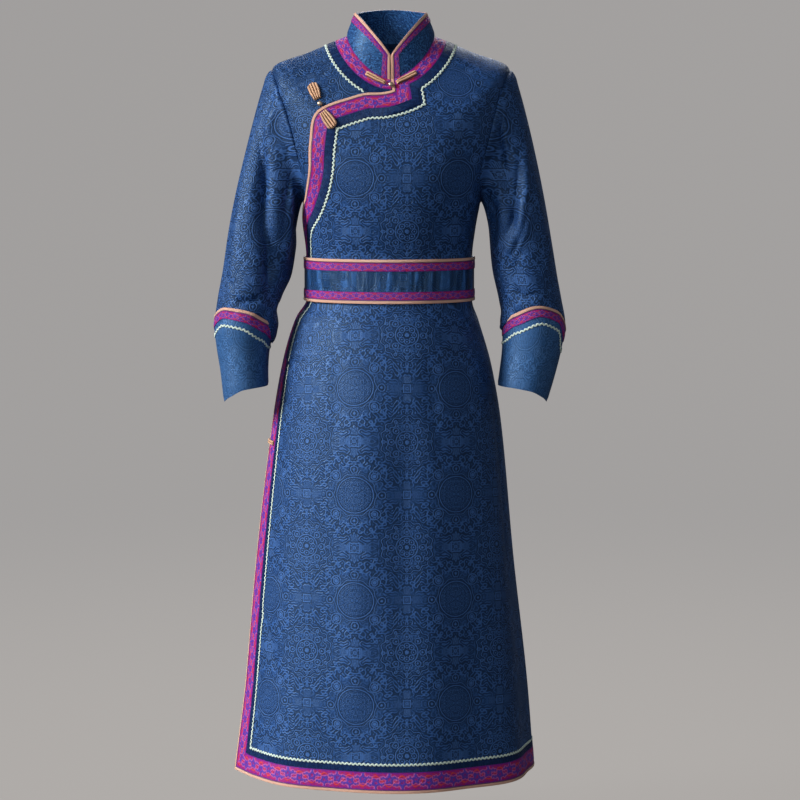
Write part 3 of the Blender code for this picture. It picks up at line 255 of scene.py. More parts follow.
# How far the overlap's free edge swings out from the body under the toggle
SWING_COLUMNS = ("drop", "out")
SWING = (
    ("belt", 0.520, 0.000),
    ("hip", 0.640, 0.002),
    ("toggle", 0.770, 0.005),
    ("knee", 0.994, 0.011),
    ("shin", 1.200, 0.013),
    ("hem", HEM, 0.024),
)
SWING_START = -36           # degrees of turn where the swing begins
SWING_END = -85
SWING_POWER = 2.5
NECK_EASE = 0.028           # drop over which the overlap leaves the neckline's level
LIFT_START = 12             # degrees of turn over which the overlap comes down to the body
LIFT_END = 45
LAP_START = -75             # degrees of turn over which it rises to lap over the right side
LAP_END = -87
# Air between the two fronts, pressed out at the neck and under the belt
AIR_COLUMNS = ("drop", "air")
AIR = (
    ("neckline", 0.000, 0.0000),
    ("chest", 0.060, 0.0018),
    ("ribs", 0.360, 0.0018),
    ("belt top", 0.420, 0.0010),
    ("belt foot", 0.520, 0.0010),
    ("hip", 0.580, 0.0018),
    ("hem", HEM, 0.0018),
)

# The under front's free edge, a little past the centre front
UNDER_EDGE_COLUMNS = ("turn", "drop")
UNDER_EDGE = (
    ("neck", -0.6, 0.0),
    ("throat", 0.8, 0.030),
    ("chest", 4.0, 0.200),
    ("hem", 4.0, HEM - UNDER_HEM_RISE),
)
UNDER_STEP = 0.008
UNDER_VENT_TURN = -88.5     # degrees of turn where the under front ends at the vent
VENT_DROP = 0.777           # drop at which the right side seam ends and the vent opens
BORDER_CHANGE = 0.62        # drop at which the narrow neck border gives way to the hem border
FLAP_CLEAR = 0.0012         # from the flap's edge to the neck border that ends beside it

# The belt's height above the body's base, over the layers that it holds
BELT_SEAT_COLUMNS = ("turn", "lift")
BELT_SEAT = (
    ("centre back", -180, 0.0028),
    ("back right", -125, 0.0030),
    ("right side", -104, 0.0088),
    ("front right", -52, 0.0080),
    ("front", -30, 0.0056),
    ("under edge", 12, 0.0056),
    ("front left", 50, 0.0034),
    ("left side", 90, 0.0028),
    ("centre back again", 180, 0.0028),
)

COLLAR_END_TURN = 0.4       # degrees from the centre front to each end of the collar
COLLAR_SEAT = 0.0032        # from the neckline up to the collar's foot
COLLAR_TOP_Z = 0.0630
COLLAR_DIP = 0.0790         # how far the top falls to the front
COLLAR_VEE = 0.85           # 1 for a straight fall to the centre front, less for a hollow one
COLLAR_BACK_RISE = 0.0080
COLLAR_WIDE = 0.0615        # half width at the top
COLLAR_FRONT = 0.0640       # depth at the top, in front and behind
COLLAR_BACK = 0.0520
COLLAR_LEAN = 0.0080        # more depth at the centre front
COLLAR_BULGE = 0.0040

# Frog fastenings of satin cord, as bars on the front: (x, z) of both ends, what the trims under
# a bar lift it by, and 0 or 1 for the end that is broad, away from the knot
# Columns: x0, z0, x1, z1, width, cords, under, broad
FROGS = {
    "frog_collar_right": (-0.0450, -0.0440, -0.0100, -0.0625, 0.0090, 2, 0.0017, 0),
    "frog_collar_left": (0.0470, -0.0430, 0.0110, -0.0625, 0.0090, 2, 0.0023, 0),
    "frog_shoulder_upper": (-0.1424, -0.0623, -0.1308, -0.0895, 0.0200, 4, 0.0, 0),
    "frog_shoulder_lower": (-0.1212, -0.1120, -0.1005, -0.1401, 0.0200, 4, 0.0016, 1),
}
ON_OVERLAP = ("frog_collar_left", "frog_shoulder_lower", "knot_collar")
CORD_HEIGHT = 0.0042
# Ball buttons on the front: x, z and what lifts them off the panel
KNOTS = {
    "knot_collar": (0.0005, -0.0670, 0.0015),
    "knot_shoulder": (-0.1262, -0.0985, -0.0008),
}
KNOT_RADIUS = 0.0047
KNOT_FLAT = 0.85

# The toggle that closes the right side at the top of the vent
TOGGLE_START = -76          # degrees of turn
TOGGLE_EDGE = -88.5
TOGGLE_END = -97
TOGGLE_DROP = 0.771
TOGGLE_WIDTH = 0.009
TOGGLE_WALL = 0.0028
TOGGLE_ROWS = 25
TOGGLE_LONG = 0.06          # its length on the flat cord

# Creases finer than the frame's folds, each along a line on the chart. bow bends the line to one
# side, and a height below 0 presses the cloth in.
CREASE_COLUMNS = ("turn0", "drop0", "turn1", "drop1", "bow", "width", "height")
BODY_CREASES = (
    ("shoulder fold right", -50, 0.050, -58, 0.150, 0.004, 0.011, -0.0030),
    ("shoulder ridge right", -66, 0.060, -66, 0.200, 0.003, 0.012, 0.0030),
    ("shoulder fold left", 52, 0.060, 60, 0.190, -0.006, 0.012, -0.0026),
    ("bust hollow right", -30, 0.150, -52, 0.330, 0.010, 0.020, -0.0022),
    ("bust hollow left", 36, 0.130, 50, 0.300, -0.012, 0.022, -0.0026),
    ("waist pinch 1", -44, 0.345, -40, 0.424, 0.002, 0.006, -0.0016),
    ("waist pinch 2", -24, 0.365, -22, 0.424, -0.002, 0.005, -0.0013),
    ("waist pinch 3", -12, 0.350, -13, 0.424, 0.002, 0.006, -0.0013),
    ("waist pinch 4", 12, 0.370, 10, 0.424, 0.002, 0.005, -0.0012),
    ("waist pinch 5", 30, 0.340, 28, 0.424, -0.003, 0.007, -0.0018),
    ("waist pinch 6", 58, 0.330, 55, 0.424, 0.002, 0.007, -0.0020),
    ("waist pinch 7", 80, 0.335, 84, 0.424, 0.002, 0.006, -0.0016),
    ("waist pinch 8", 118, 0.330, 114, 0.424, 0.003, 0.007, -0.0020),
    ("waist pinch 9", 160, 0.350, 158, 0.424, -0.002, 0.006, -0.0018),
    ("waist pinch 10", 196, 0.340, 199, 0.424, 0.003, 0.007, -0.0020),
    ("waist pinch 11", 236, 0.335, 240, 0.424, -0.003, 0.006, -0.0018),
    ("blade crease left", 118, 0.170, 150, 0.330, 0.012, 0.014, -0.0030),
    ("blade crease right", 243, 0.180, 214, 0.320, -0.012, 0.014, -0.0030),
    ("spine crease", 176, 0.190, 183, 0.400, 0.004, 0.012, -0.0020),
    ("hip crease 1", -66, 0.556, -34, 0.538, -0.004, 0.005, -0.0014),
    ("hip crease 2", -70, 0.590, -42, 0.560, -0.006, 0.006, -0.0014),
    ("hip crease 3", 60, 0.545, 80, 0.600, 0.005, 0.006, -0.0016),
    ("hip crease 4", 120, 0.545, 104, 0.610, 0.004, 0.007, -0.0018),
    ("hip crease 5", 205, 0.542, 190, 0.640, 0.006, 0.007, -0.0018),
    ("hip crease 6", 152, 0.545, 166, 0.620, -0.005, 0.007, -0.0016),
    ("skirt crease 1", -76, 1.060, -52, 1.200, 0.008, 0.010, -0.0024),
    ("skirt crease 2", -34, 0.560, -30, 0.800, 0.010, 0.014, -0.0018),
    ("skirt crease 3", 24, 0.560, 30, 0.860, -0.012, 0.014, -0.0022),
    ("skirt fall", -14, 0.540, -18, 1.390, 0.010, 0.055, 0.0090),
    ("skirt hollow", 12, 0.600, 8, 1.390, -0.010, 0.040, -0.0060),
    ("skirt crease 4", 66, 0.640, 70, 1.050, 0.014, 0.014, -0.0030),
    ("skirt crease 5", -10, 0.950, -14, 1.380, 0.012, 0.018, -0.0022),
    ("skirt crease 6", 44, 1.000, 42, 1.390, -0.012, 0.016, -0.0026),
    ("skirt crease 7", 116, 0.700, 112, 1.300, 0.014, 0.015, -0.0034),
    ("skirt crease 8", 138, 0.560, 142, 1.100, -0.012, 0.014, -0.0030),
    ("skirt crease 9", 168, 0.620, 164, 1.200, 0.014, 0.015, -0.0034),
    ("skirt crease 10", 195, 0.800, 192, 1.390, -0.014, 0.016, -0.0034),
    ("skirt crease 11", 222, 0.560, 219, 1.050, 0.012, 0.014, -0.0030),
    ("skirt crease 12", 250, 0.700, 247, 1.300, -0.010, 0.014, -0.0030),
)
SLEEVE_CREASES = {
    "right": (
        ("long trough", 30, 0.080, 142, 0.390, 0.012, 0.023, -0.0190),
        ("long ridge", 122, 0.070, 150, 0.320, 0.003, 0.010, 0.0085),
        ("long ridge groove", 114, 0.060, 128, 0.210, 0.002, 0.004, -0.0022),
        ("inner trough", 158, 0.060, 162, 0.250, 0.004, 0.010, -0.0040),
        ("inner ridge", 186, 0.230, 186, 0.360, 0.000, 0.020, 0.0045),
        ("inner pinch", 160, 0.376, 214, 0.384, 0.000, 0.012, -0.0060),
        ("outer ridge", 34, 0.130, 58, 0.380, -0.004, 0.015, 0.0050),
        ("outer crease", 34, 0.130, 62, 0.175, 0.006, 0.007, -0.0028),
        ("elbow bag", 62, 0.362, 120, 0.356, -0.006, 0.009, -0.0062),
        ("elbow bag ridge", 66, 0.382, 118, 0.392, -0.004, 0.008, 0.0034),
        ("elbow crease low", 24, 0.320, 60, 0.345, 0.006, 0.006, -0.0026),
        ("back trough", 252, 0.120, 282, 0.340, -0.008, 0.012, -0.0070),
        ("back ridge", 300, 0.140, 306, 0.330, 0.006, 0.012, 0.0040),
        ("back elbow 1", 246, 0.300, 300, 0.276, 0.008, 0.008, -0.0046),
        ("back elbow 2", 238, 0.352, 292, 0.330, 0.008, 0.008, -0.0046),
    ),
    "left": (
        ("crown trough", 66, 0.030, 96, 0.130, 0.006, 0.009, -0.0055),
        ("crown ridge", 48, 0.020, 82, 0.110, 0.006, 0.007, 0.0035),
        ("long trough", 116, 0.110, 104, 0.300, -0.008, 0.012, -0.0055),
        ("sweep ridge", 40, 0.115, 134, 0.300, -0.006, 0.012, 0.0072),
        ("sweep line", 58, 0.190, 130, 0.312, -0.006, 0.005, 0.0030),
        ("sweep trough", 60, 0.120, 134, 0.262, -0.006, 0.011, -0.0060),
        ("low sweep", 22, 0.230, 70, 0.330, -0.006, 0.009, 0.0032),
        ("inner trough", 150, 0.060, 150, 0.290, -0.004, 0.012, -0.0050),
        ("elbow bag", 74, 0.352, 122, 0.338, -0.008, 0.006, -0.0046),
        ("elbow crease low", 20, 0.326, 60, 0.350, 0.006, 0.006, -0.0026),
        ("back trough", 256, 0.110, 280, 0.330, 0.008, 0.012, -0.0070),
        ("back ridge", 304, 0.130, 300, 0.340, -0.006, 0.012, 0.0040),
        ("back elbow 1", 240, 0.292, 298, 0.270, 0.008, 0.008, -0.0046),
        ("back elbow 2", 246, 0.350, 296, 0.326, 0.006, 0.008, -0.0046),
    ),
}
SEAM_ROLL = 0.0042          # the crown's roll beside its seam
SEAM_ROLL_RISE = 0.012      # run over which the roll rises
SEAM_ROLL_FALL = 0.045      # and over which it falls
SEAM_ROLL_AROUND = (0.75, 0.6)      # cosines of phase over which it fades at the underarm
CREASE_START = 0.04         # run over which the sleeve's creases come up at the armhole
ARM_RADIUS = 0.058
CREASE_FADE = 0.30          # share of a crease's length over which it fades at each end

WAIST_DROP = 0.428          # the belt's top edge on the cloth
FLAP_POINTS = 20            # points of the flap's edge beside the under front's border


# ---------------------------------------------------------------- tables and curves

def table(columns, rows):
    """The rows as one array for each named column."""
    return {name: np.array([row[i + 1] for row in rows], float) for i, name in enumerate(columns)}


def spline(at, knots, values):
    """Smooth curve through a table's values, never past them, and straight beyond its ends.

    values may have a column for each of several curves.
    """
    at = np.asarray(at, float)
    step = np.diff(knots)
    if values.ndim == 2:
        at = at[..., None]
        step = step[:, None]
    rise = np.diff(values, axis=0) / step
    turning = rise[:-1] * rise[1:]
    slope = np.zeros(values.shape)
    slope[0], slope[-1] = rise[0], rise[-1]
    steady = turning > 0
    slope[1:-1][steady] = 2 * turning[steady] / (rise[:-1] + rise[1:])[steady]
    i = np.clip(np.searchsorted(knots, at, side="right") - 1, 0, len(knots) - 2)
    if values.ndim == 2:
        i = i[..., 0]
    start, end, span = values[i], values[i + 1], step[i]
    t = np.clip((at - (knots[i][..., None] if values.ndim == 2 else knots[i])) / span, 0.0, 1.0)
    inside = (
        start * (1 + 2 * t) * (1 - t) ** 2
        + end * t * t * (3 - 2 * t)
        + span * slope[i] * t * (1 - t) ** 2
        - span * slope[i + 1] * t * t * (1 - t)
    )
    before, after = np.minimum(at - knots[0], 0), np.maximum(at - knots[-1], 0)
    return inside + slope[0] * before + slope[-1] * after


def loop_spline(phase, degrees, values):
    """Smooth closed curve through values given for 0 to 360 degrees."""
    turns = np.concatenate([degrees[-3:-1] - 360, degrees, degrees[1:3] + 360])
    wrapped = np.concatenate([values[-3:-1], values, values[1:3]])
    return spline(np.degrees(np.mod(phase, 2 * math.pi)), turns, wrapped)


def ease(t):
    """0 to 1 with soft ends."""
    t = np.clip(t, 0.0, 1.0)
    return t * t * (3 - 2 * t)


def columns_of(rows):
    """A table's columns, each ready to spread over many points."""
    return {name: column[:, None] for name, column in rows.items()}


def folds(rows, angle, drop):
    """Height of all the folds at an angle (radians) and drop."""
    angle, drop = np.broadcast_arrays(angle, drop)
    at = columns_of(rows)
    down = drop.reshape(-1)
    off = np.mod(np.degrees(angle.reshape(-1)) - at["turn"] + 180, 360) - 180
    along = ease((down - at["top"]) / (at["full"] - at["top"]))
    along = along * (1 - ease((down - at["full"]) / (at["foot"] - at["full"])))
    return (at["rise"] * along * np.exp(-(off / at["spread"]) ** 2)).sum(0).reshape(angle.shape)


def creases(rows, angle, drop, radius):
    """Height of all the creases at an angle (radians) and drop."""
    angle, drop = np.broadcast_arrays(angle, drop)
    at = columns_of(rows)
    middle = np.radians((at["turn0"] + at["turn1"]) / 2)
    half = np.radians(at["turn1"] - at["turn0"]) * radius / 2
    fall = at["drop1"] - at["drop0"]
    length = np.hypot(2 * half, fall)
    u = (np.mod(angle.reshape(-1) - middle + math.pi, 2 * math.pi) - math.pi) * radius + half
    down = drop.reshape(-1) - at["drop0"]
    t = (u * 2 * half + down * fall) / length ** 2
    off = (u * fall - down * 2 * half) / length - at["bow"] * 4 * t * (1 - t)
    fade = ease(t / CREASE_FADE) * ease((1 - t) / CREASE_FADE)
    lift = at["height"] * fade / (1 + (off / at["width"]) ** 2) ** 2
    return lift.sum(0).reshape(angle.shape)


def unit(vectors):
    return vectors / np.linalg.norm(vectors, axis=-1, keepdims=True)


# ---------------------------------------------------------------- cloth surfaces

BODY = table(BODY_COLUMNS, BODY_RINGS)
BODY_VALUES = np.stack([BODY[name] for name in BODY_COLUMNS[1:]], 1)
FOLDS_OF_BODY = table(FOLD_COLUMNS, BODY_FOLDS)
CREASES_OF_BODY = table(CREASE_COLUMNS, BODY_CREASES)


def ring_at(drop):
    """The body's ring at each drop, by name."""
    values = spline(drop, BODY["drop"], BODY_VALUES)
    return {name: values[..., i] for i, name in enumerate(BODY_COLUMNS[1:])}


def body(turn, drop):
    """The robe's body: a point for a turn from the centre front (radians) and a drop."""
    turn, drop = np.broadcast_arrays(np.asarray(turn, float), np.asarray(drop, float))
    ring = ring_at(drop)
    s = np.sin(turn)
    c = np.cos(turn)
    reach = (np.abs(s) ** ring["square"] + np.abs(c) ** ring["square"]) ** (-1 / ring["square"])
    wide = np.where(s < 0, ring["right"], ring["left"])
    deep = np.where(c > 0, -ring["y_front"], ring["y_back"])
    lift = folds(FOLDS_OF_BODY, turn, drop) + creases(CREASES_OF_BODY, turn, drop, CHART)
    x = (wide * reach + lift) * s
    y = -(deep * reach + lift) * c
    middle = np.where(c > 0, ring["z_front"], ring["z_back"])
    z = middle + (ring["z_side"] - middle) * s * s
    return np.stack([x, y, z], -1)


def normals(surface, u, v, step=0.0015):
    """Outward unit normals of a surface."""
    across = surface(u + step / CHART, v) - surface(u - step / CHART, v)
    down = surface(u, v + step) - surface(u, v - step)
    return unit(np.cross(down, across))


SWING_OUT = table(SWING_COLUMNS, SWING)
BETWEEN = table(AIR_COLUMNS, AIR)


def overlap(turn, drop):
    """The outer front, lying over the under front and swinging free at its right edge."""
    turn, drop = np.broadcast_arrays(np.asarray(turn, float), np.asarray(drop, float))
    air = np.interp(drop, BETWEEN["drop"], BETWEEN["air"])
    degrees = np.degrees(turn)
    lift = (OVERLAP_LIFT + air) * ease(drop / NECK_EASE)
    lift = lift * ease((LIFT_END - degrees) / (LIFT_END - LIFT_START))
    lift = lift + LAP_LIFT * ease((LAP_START - degrees) / (LAP_START - LAP_END))
    swing = spline(drop, SWING_OUT["drop"], SWING_OUT["out"]) * (drop > SWING_OUT["drop"][0])
    part = np.clip((degrees - SWING_START) / (SWING_END - SWING_START), 0, 1.3)
    lift = lift + swing * part ** SWING_POWER
    return body(turn, drop) + normals(body, turn, drop) * lift[..., None]


HOLE = table(ARMHOLE_COLUMNS, ARMHOLE)
CROWN_REACH = table(CROWN_COLUMNS, CROWN)
SIDE = {"right": -1, "left": 1}


def armhole(side, phase):
    """Turn and drop of the armhole, from the shoulder point round the front."""
    turn = loop_spline(phase, HOLE["phase"], HOLE["turn"])
    drop = loop_spline(phase, HOLE["phase"], HOLE["drop"])
    return SIDE[side] * np.radians(turn), drop


SLICES = {side: table(SLICE_COLUMNS, rows) for side, rows in SLEEVE_SLICES.items()}
FOLDS_OF_SLEEVE = {side: table(FOLD_COLUMNS, rows) for side, rows in SLEEVE_FOLDS.items()}
CREASES_OF_SLEEVE = {side: table(CREASE_COLUMNS, rows) for side, rows in SLEEVE_CREASES.items()}


def sleeve_slice(side, phase, z):
    """A level slice of the sleeve, phase 0 outside, 90 degrees in front, 180 at the body."""
    slices = SLICES[side]
    values = np.stack([slices[name] for name in SLICE_COLUMNS[1:]], 1)
    at_x, at_y, wide, deep = np.moveaxis(spline(-z, -slices["z"], values), -1, 0)
    x = SIDE[side] * (at_x + wide * np.cos(phase))
    y = at_y - deep * np.sin(phase)
    return np.stack([x, y, z + np.zeros_like(x)], -1)


def sleeve(side):
    """The sleeve's surface: phase round the arm, and a run from the armhole to the mouth."""
    def surface(phase, run):
        phase, run = np.broadcast_arrays(np.asarray(phase, float), np.asarray(run, float))
        t = np.clip(run / SET_IN, 0, 1)[..., None]
        turn, drop = armhole(side, phase)
        start = body(turn, drop)
        ahead = body(*armhole(side, phase + 0.02)) - body(*armhole(side, phase - 0.02))
        facing = normals(body, turn, drop)
        into = unit(np.cross(facing, ahead)) * SIDE[side]
        first = sleeve_slice(side, phase, np.full(phase.shape, SET_IN_Z))
        below = sleeve_slice(side, phase, np.full(phase.shape, SET_IN_Z - 0.004))
        heading = unit(below - first)
        leave = loop_spline(phase, CROWN_REACH["phase"], CROWN_REACH["leave"])[..., None]
        arrive = loop_spline(phase, CROWN_REACH["phase"], CROWN_REACH["arrive"])[..., None]
        crown = (
            start * (1 - t) ** 3
            + (start + into * leave) * 3 * t * (1 - t) ** 2
            + (first - heading * arrive) * 3 * t * t * (1 - t)
            + first * t ** 3
        )
        arm = sleeve_slice(side, phase, SET_IN_Z - np.maximum(run - SET_IN, 0))
        point = np.where(run[..., None] < SET_IN, crown, arm)
        lift = folds(FOLDS_OF_SLEEVE[side], phase, run)
        fine = creases(CREASES_OF_SLEEVE[side], phase, run, ARM_RADIUS)
        lift = lift + fine * ease(run / CREASE_START)
        roll = ease(run / SEAM_ROLL_RISE) * (1 - ease((run - SEAM_ROLL_RISE) / SEAM_ROLL_FALL))
        past, fade = SEAM_ROLL_AROUND
        lift = lift + SEAM_ROLL * roll * ease((np.cos(phase) + past) / fade)
        out = np.stack([SIDE[side] * np.cos(phase), -np.sin(phase), np.zeros_like(phase)], -1)
        return point + out * lift[..., None]
    return surface


def sleeve_normals(side, phase, run, step=0.002):
    surface = sleeve(side)
    round_arm = surface(phase + step / 0.06, run) - surface(phase - step / 0.06, run)
    low = np.maximum(run - step, 0)
    down = surface(phase, run + step) - surface(phase, low)
    return unit(np.cross(round_arm, down)) * SIDE[side]


def collar(turn, rise):
    """The standing collar: turn from the centre front, rise 0 at the neckline to 1 at its top."""
    turn, rise = np.broadcast_arrays(np.asarray(turn, float), np.asarray(rise, float))
    foot = body(turn, 0.0)
    s = np.sin(turn)
    c = np.cos(turn)
    front = np.clip(c, 0, 1)
    deep = np.where(c > 0, COLLAR_FRONT, COLLAR_BACK)
    fall = COLLAR_DIP * (1 - np.abs(s) ** COLLAR_VEE)
    top_z = COLLAR_TOP_Z + np.where(c > 0, -fall, COLLAR_BACK_RISE * c * c)
    top = np.stack([COLLAR_WIDE * s, -deep * c - COLLAR_LEAN * front, top_z], -1)
    bulge = (rise * (1 - rise) * COLLAR_BULGE)[..., None] * np.stack([s, -c, np.zeros_like(s)], -1)
    return foot + (top - foot) * rise[..., None] + bulge


# ---------------------------------------------------------------- lines on the chart

OFFSET_STEPS = 6            # small steps in which a line is moved
MITRE = 0.35                # keeps a sharp corner's mitre short
CLEAR = 0.955               # share of the step that a point has to keep from the first line


def chart_line(surface, line):
    """Points in space of a line on the chart."""
    return surface(line[:, 0], line[:, 1])


def spaced(surface, line, step):
    """The line with even points, a whole number of steps apart."""
    dense_t = np.linspace(0, len(line) - 1, 40 * (len(line) - 1) + 1)
    index = np.arange(len(line), dtype=float)
    dense = np.stack([spline(dense_t, index, line[:, k]) for k in (0, 1)], 1)
    gaps = np.linalg.norm(np.diff(chart_line(surface, dense), axis=0), axis=1)
    length = np.concatenate([[0], np.cumsum(gaps)])
    count = max(1, round(length[-1] / step))
    at = np.linspace(0, length[-1], count + 1)
    return np.stack([np.interp(at, length, dense[:, k]) for k in (0, 1)], 1)


ON_FRONT_ROUNDS = 30
ON_FRONT_SHARE = 0.7        # share of the error that a round takes away


def on_front(x, z, surface=body):
    """Turn and drop of the points of the front at x and z, found in rounds."""
    x = np.asarray(x, float)
    z = np.asarray(z, float)
    turn = np.clip(x / CHART, -1.3, 1.3)
    drop = np.clip(-z - 0.03, 0.02, HEM)
    for _ in range(ON_FRONT_ROUNDS):
        here = surface(turn, drop)
        du = (surface(turn + NUDGE, drop) - here) / NUDGE
        dv = (surface(turn, drop + NUDGE) - here) / NUDGE
        ex = x - here[..., 0]
        ez = z - here[..., 2]
        det = du[..., 0] * dv[..., 2] - dv[..., 0] * du[..., 2]
        across = ON_FRONT_SHARE * (ex * dv[..., 2] - ez * dv[..., 0]) / det
        down = ON_FRONT_SHARE * (du[..., 0] * ez - du[..., 2] * ex) / det
        turn = np.clip(turn + across, -1.6, 1.6)
        drop = np.clip(drop + down, 0.0, HEM)
    return np.stack([turn, drop], -1)


def at_level(turn, z):
    """Drop at which the body reaches a level, for given turns in degrees."""
    drops = np.linspace(0, HEM, 1400)
    found = []
    for angle, level in zip(np.atleast_1d(turn), np.atleast_1d(z)):
        heights = body(math.radians(angle), drops)[:, 2]
        found.append((math.radians(angle), float(np.interp(-level, -heights, drops))))
    return np.array(found)


def offset_line(surface, line, distance):
    """The line moved sideways on the surface, mitred at corners and trimmed where it crosses."""
    edge = chart_line(surface, spaced_along(line, 6))
    for step in range(1, OFFSET_STEPS + 1):
        point = chart_line(surface, line)
        normal = normals(surface, line[:, 0], line[:, 1])
        run = np.diff(point, axis=0)
        before = unit(np.vstack([run[:1], run]))
        after = unit(np.vstack([run, run[-1:]]))
        left_before = unit(np.cross(normal, before))
        left_after = unit(np.cross(normal, after))
        lean = 1 + np.sum(left_before * left_after, 1, keepdims=True)
        move = (left_before + left_after) / np.maximum(lean, MITRE) * (distance / OFFSET_STEPS)
        du = (surface(line[:, 0] + NUDGE, line[:, 1]) - point) / NUDGE
        dv = (surface(line[:, 0], line[:, 1] + NUDGE) - point) / NUDGE
        uu, uv, vv = (np.sum(a * b, 1) for a, b in ((du, du), (du, dv), (dv, dv)))
        mu = np.sum(du * move, 1)
        mv = np.sum(dv * move, 1)
        det = uu * vv - uv * uv
        line = line + np.stack([(mu * vv - mv * uv) / det, (mv * uu - mu * uv) / det], 1)
        point = chart_line(surface, line)
        away = np.linalg.norm(point[:, None] - edge[None], axis=2).min(1)
        line = line[away > abs(distance) * step / OFFSET_STEPS * CLEAR]
    return line


def spaced_along(line, parts):
    """The line with each segment cut into equal parts."""
    t = np.linspace(0, len(line) - 1, parts * (len(line) - 1) + 1)
    return np.stack([np.interp(t, np.arange(len(line)), line[:, k]) for k in (0, 1)], 1)


def inside(points, polygon):
    """Which chart points lie inside a closed outline."""
    x, y = points[:, 0:1], points[:, 1:2]
    ax, ay = polygon[:, 0], polygon[:, 1]
    bx, by = np.roll(ax, -1), np.roll(ay, -1)
    with np.errstate(divide="ignore", invalid="ignore"):
        cross = ((ay > y) != (by > y)) & (x < (bx - ax) * (y - ay) / (by - ay) + ax)
    return cross.sum(1) % 2 == 1


# ---------------------------------------------------------------- nets and walls

SHARP = 50                  # degrees at which an edge is shaded sharp


class Net:
    """Triangles over a panel's outline, with every trim's edge as a line of the net."""

    def __init__(self, surface, outline, lines):
        scale = np.array([CHART, 1.0])
        points = []
        edges = []
        for line, closed in [(outline, True)] + [(one, False) for one in lines]:
            start = len(points)
            points.extend(line * scale)
            edges.extend((start + i, start + i + 1) for i in range(len(line) - 1))
            if closed:
                edges.append((start + len(line) - 1, start))
        fixed = np.array(points)
        ends = np.array([(fixed[a], fixed[b]) for a, b in edges])
        low, high = (outline * scale).min(0), (outline * scale).max(0)
        step = CELL * ROW
        for i, v in enumerate(np.arange(low[1] + step / 2, high[1], step)):
            row = np.arange(low[0] + CELL * (0.25 + 0.5 * (i % 2)), high[0], CELL)
            row = np.stack([row, np.full(len(row), v)], 1)
            row = row[inside(row, outline * scale)]
            near = ends[(np.minimum(ends[:, 0, 1], ends[:, 1, 1]) < v + CELL)
                        & (np.maximum(ends[:, 0, 1], ends[:, 1, 1]) > v - CELL)]
            if len(row) and len(near):
                row = row[gap_to(row, near) > CELL * CROWD]
            points.extend(row)
        result = delaunay_2d_cdt([Vector(p) for p in points], edges, [], 0, NEAR)
        chart = np.array([(p[0], p[1]) for p in result[0]])
        faces = np.array([f for f in result[2] if len(f) == 3])
        keep = inside(chart[faces].mean(1), outline * scale)
        self.chart = chart / scale
        self.points = surface(self.chart[:, 0], self.chart[:, 1])
        self.normals = normals(surface, self.chart[:, 0], self.chart[:, 1])
        self.faces = facing(self.points, self.normals, faces[keep])
        self.middles = self.chart[self.faces].mean(1)

    def within(self, polygon):
        """Which triangles lie in a chart outline."""
        return inside(self.middles, polygon)


def gap_to(points, ends):
    """Distance from each point to the nearest of the segments."""
    a = ends[:, 0][None]
    b = ends[:, 1][None]
    p = points[:, None]
    t = np.clip(((p - a) * (b - a)).sum(2) / np.maximum(((b - a) ** 2).sum(2), 1e-12), 0, 1)
    return np.linalg.norm(p - a - (b - a) * t[..., None], axis=2).min(1)


def facing(points, out, faces):
    """The faces, each turned to look along its normals."""
    corner = points[faces]
    turned = np.cross(corner[:, 1] - corner[:, 0], corner[:, 2] - corner[:, 0])
    faces = faces.copy()
    wrong = np.sum(turned * out[faces].mean(1), 1) < 0
    faces[wrong] = faces[wrong][:, ::-1]
    return faces


def rim_of(faces):
    """The net's free edges."""
    rim = {}
    for a, b, c in faces.tolist():
        for edge in ((a, b), (b, c), (c, a)):
            if edge[::-1] in rim:
                del rim[edge[::-1]]
            else:
                rim[edge] = True
    return np.array(list(rim))


def wall(name, finish, points, out, faces, low, high, draw_in, pattern, roll=0.0):
    """A closed wall on a net, its inner face at low and its outer face at high along out.

    The rim is drawn in, and roll rounds the outer edge down. pattern gives each corner of each
    face its place on the flat cloth.
    """
    used, back = np.unique(faces, return_inverse=True)
    faces = back.reshape(-1, 3)
    points = points[used].copy()
    out = out[used]
    high = np.asarray(high)[used][:, None] if np.ndim(high) else np.full((len(used), 1), high)
    rim = rim_of(faces)
    inward = np.zeros_like(points)
    for a, b in rim:
        side = unit(np.cross(out[a] + out[b], points[b] - points[a]))
        for end in (a, b):
            other = inward[end]
            if np.any(other):
                inward[end] = (other + side) / max(1 + float(other @ side), 0.4)
            else:
                inward[end] = side
    points += inward * draw_in
    high = high.copy()
    high[np.unique(rim)] -= roll
    count = len(points)
    verts = np.vstack([points + out * low, points + out * high])
    sides = np.vstack([
        np.stack([rim[:, 0], rim[:, 1], rim[:, 1] + count], 1),
        np.stack([rim[:, 0], rim[:, 1] + count, rim[:, 0] + count], 1),
    ])
    polygons = np.vstack([faces[:, ::-1], faces + count, sides])
    mesh = bpy.data.meshes.new(name)
    mesh.from_pydata(verts.tolist(), [], polygons.tolist())
    corner = np.zeros((count, 2))
    corner[faces.reshape(-1)] = pattern.reshape(-1, 2)
    flat = np.concatenate([pattern[:, ::-1], pattern, corner[sides % count]])
    layer = mesh.uv_layers.new(name="cloth")
    layer.data.foreach_set("uv", flat.reshape(-1))
    mesh.shade_smooth()
    mesh.set_sharp_from_angle(angle=math.radians(SHARP))
    return dress(mesh, name, finish)


def dress(mesh, node, finish):
    """The piece that stands for the frame's node and takes the record's finish."""
    piece = bpy.data.objects.new(f"{node}_sewn", mesh)
    mesh.materials.append(MATERIALS[finish])
    bpy.context.scene.collection.objects.link(piece)
    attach(piece, "root")
    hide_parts(node)
    return piece


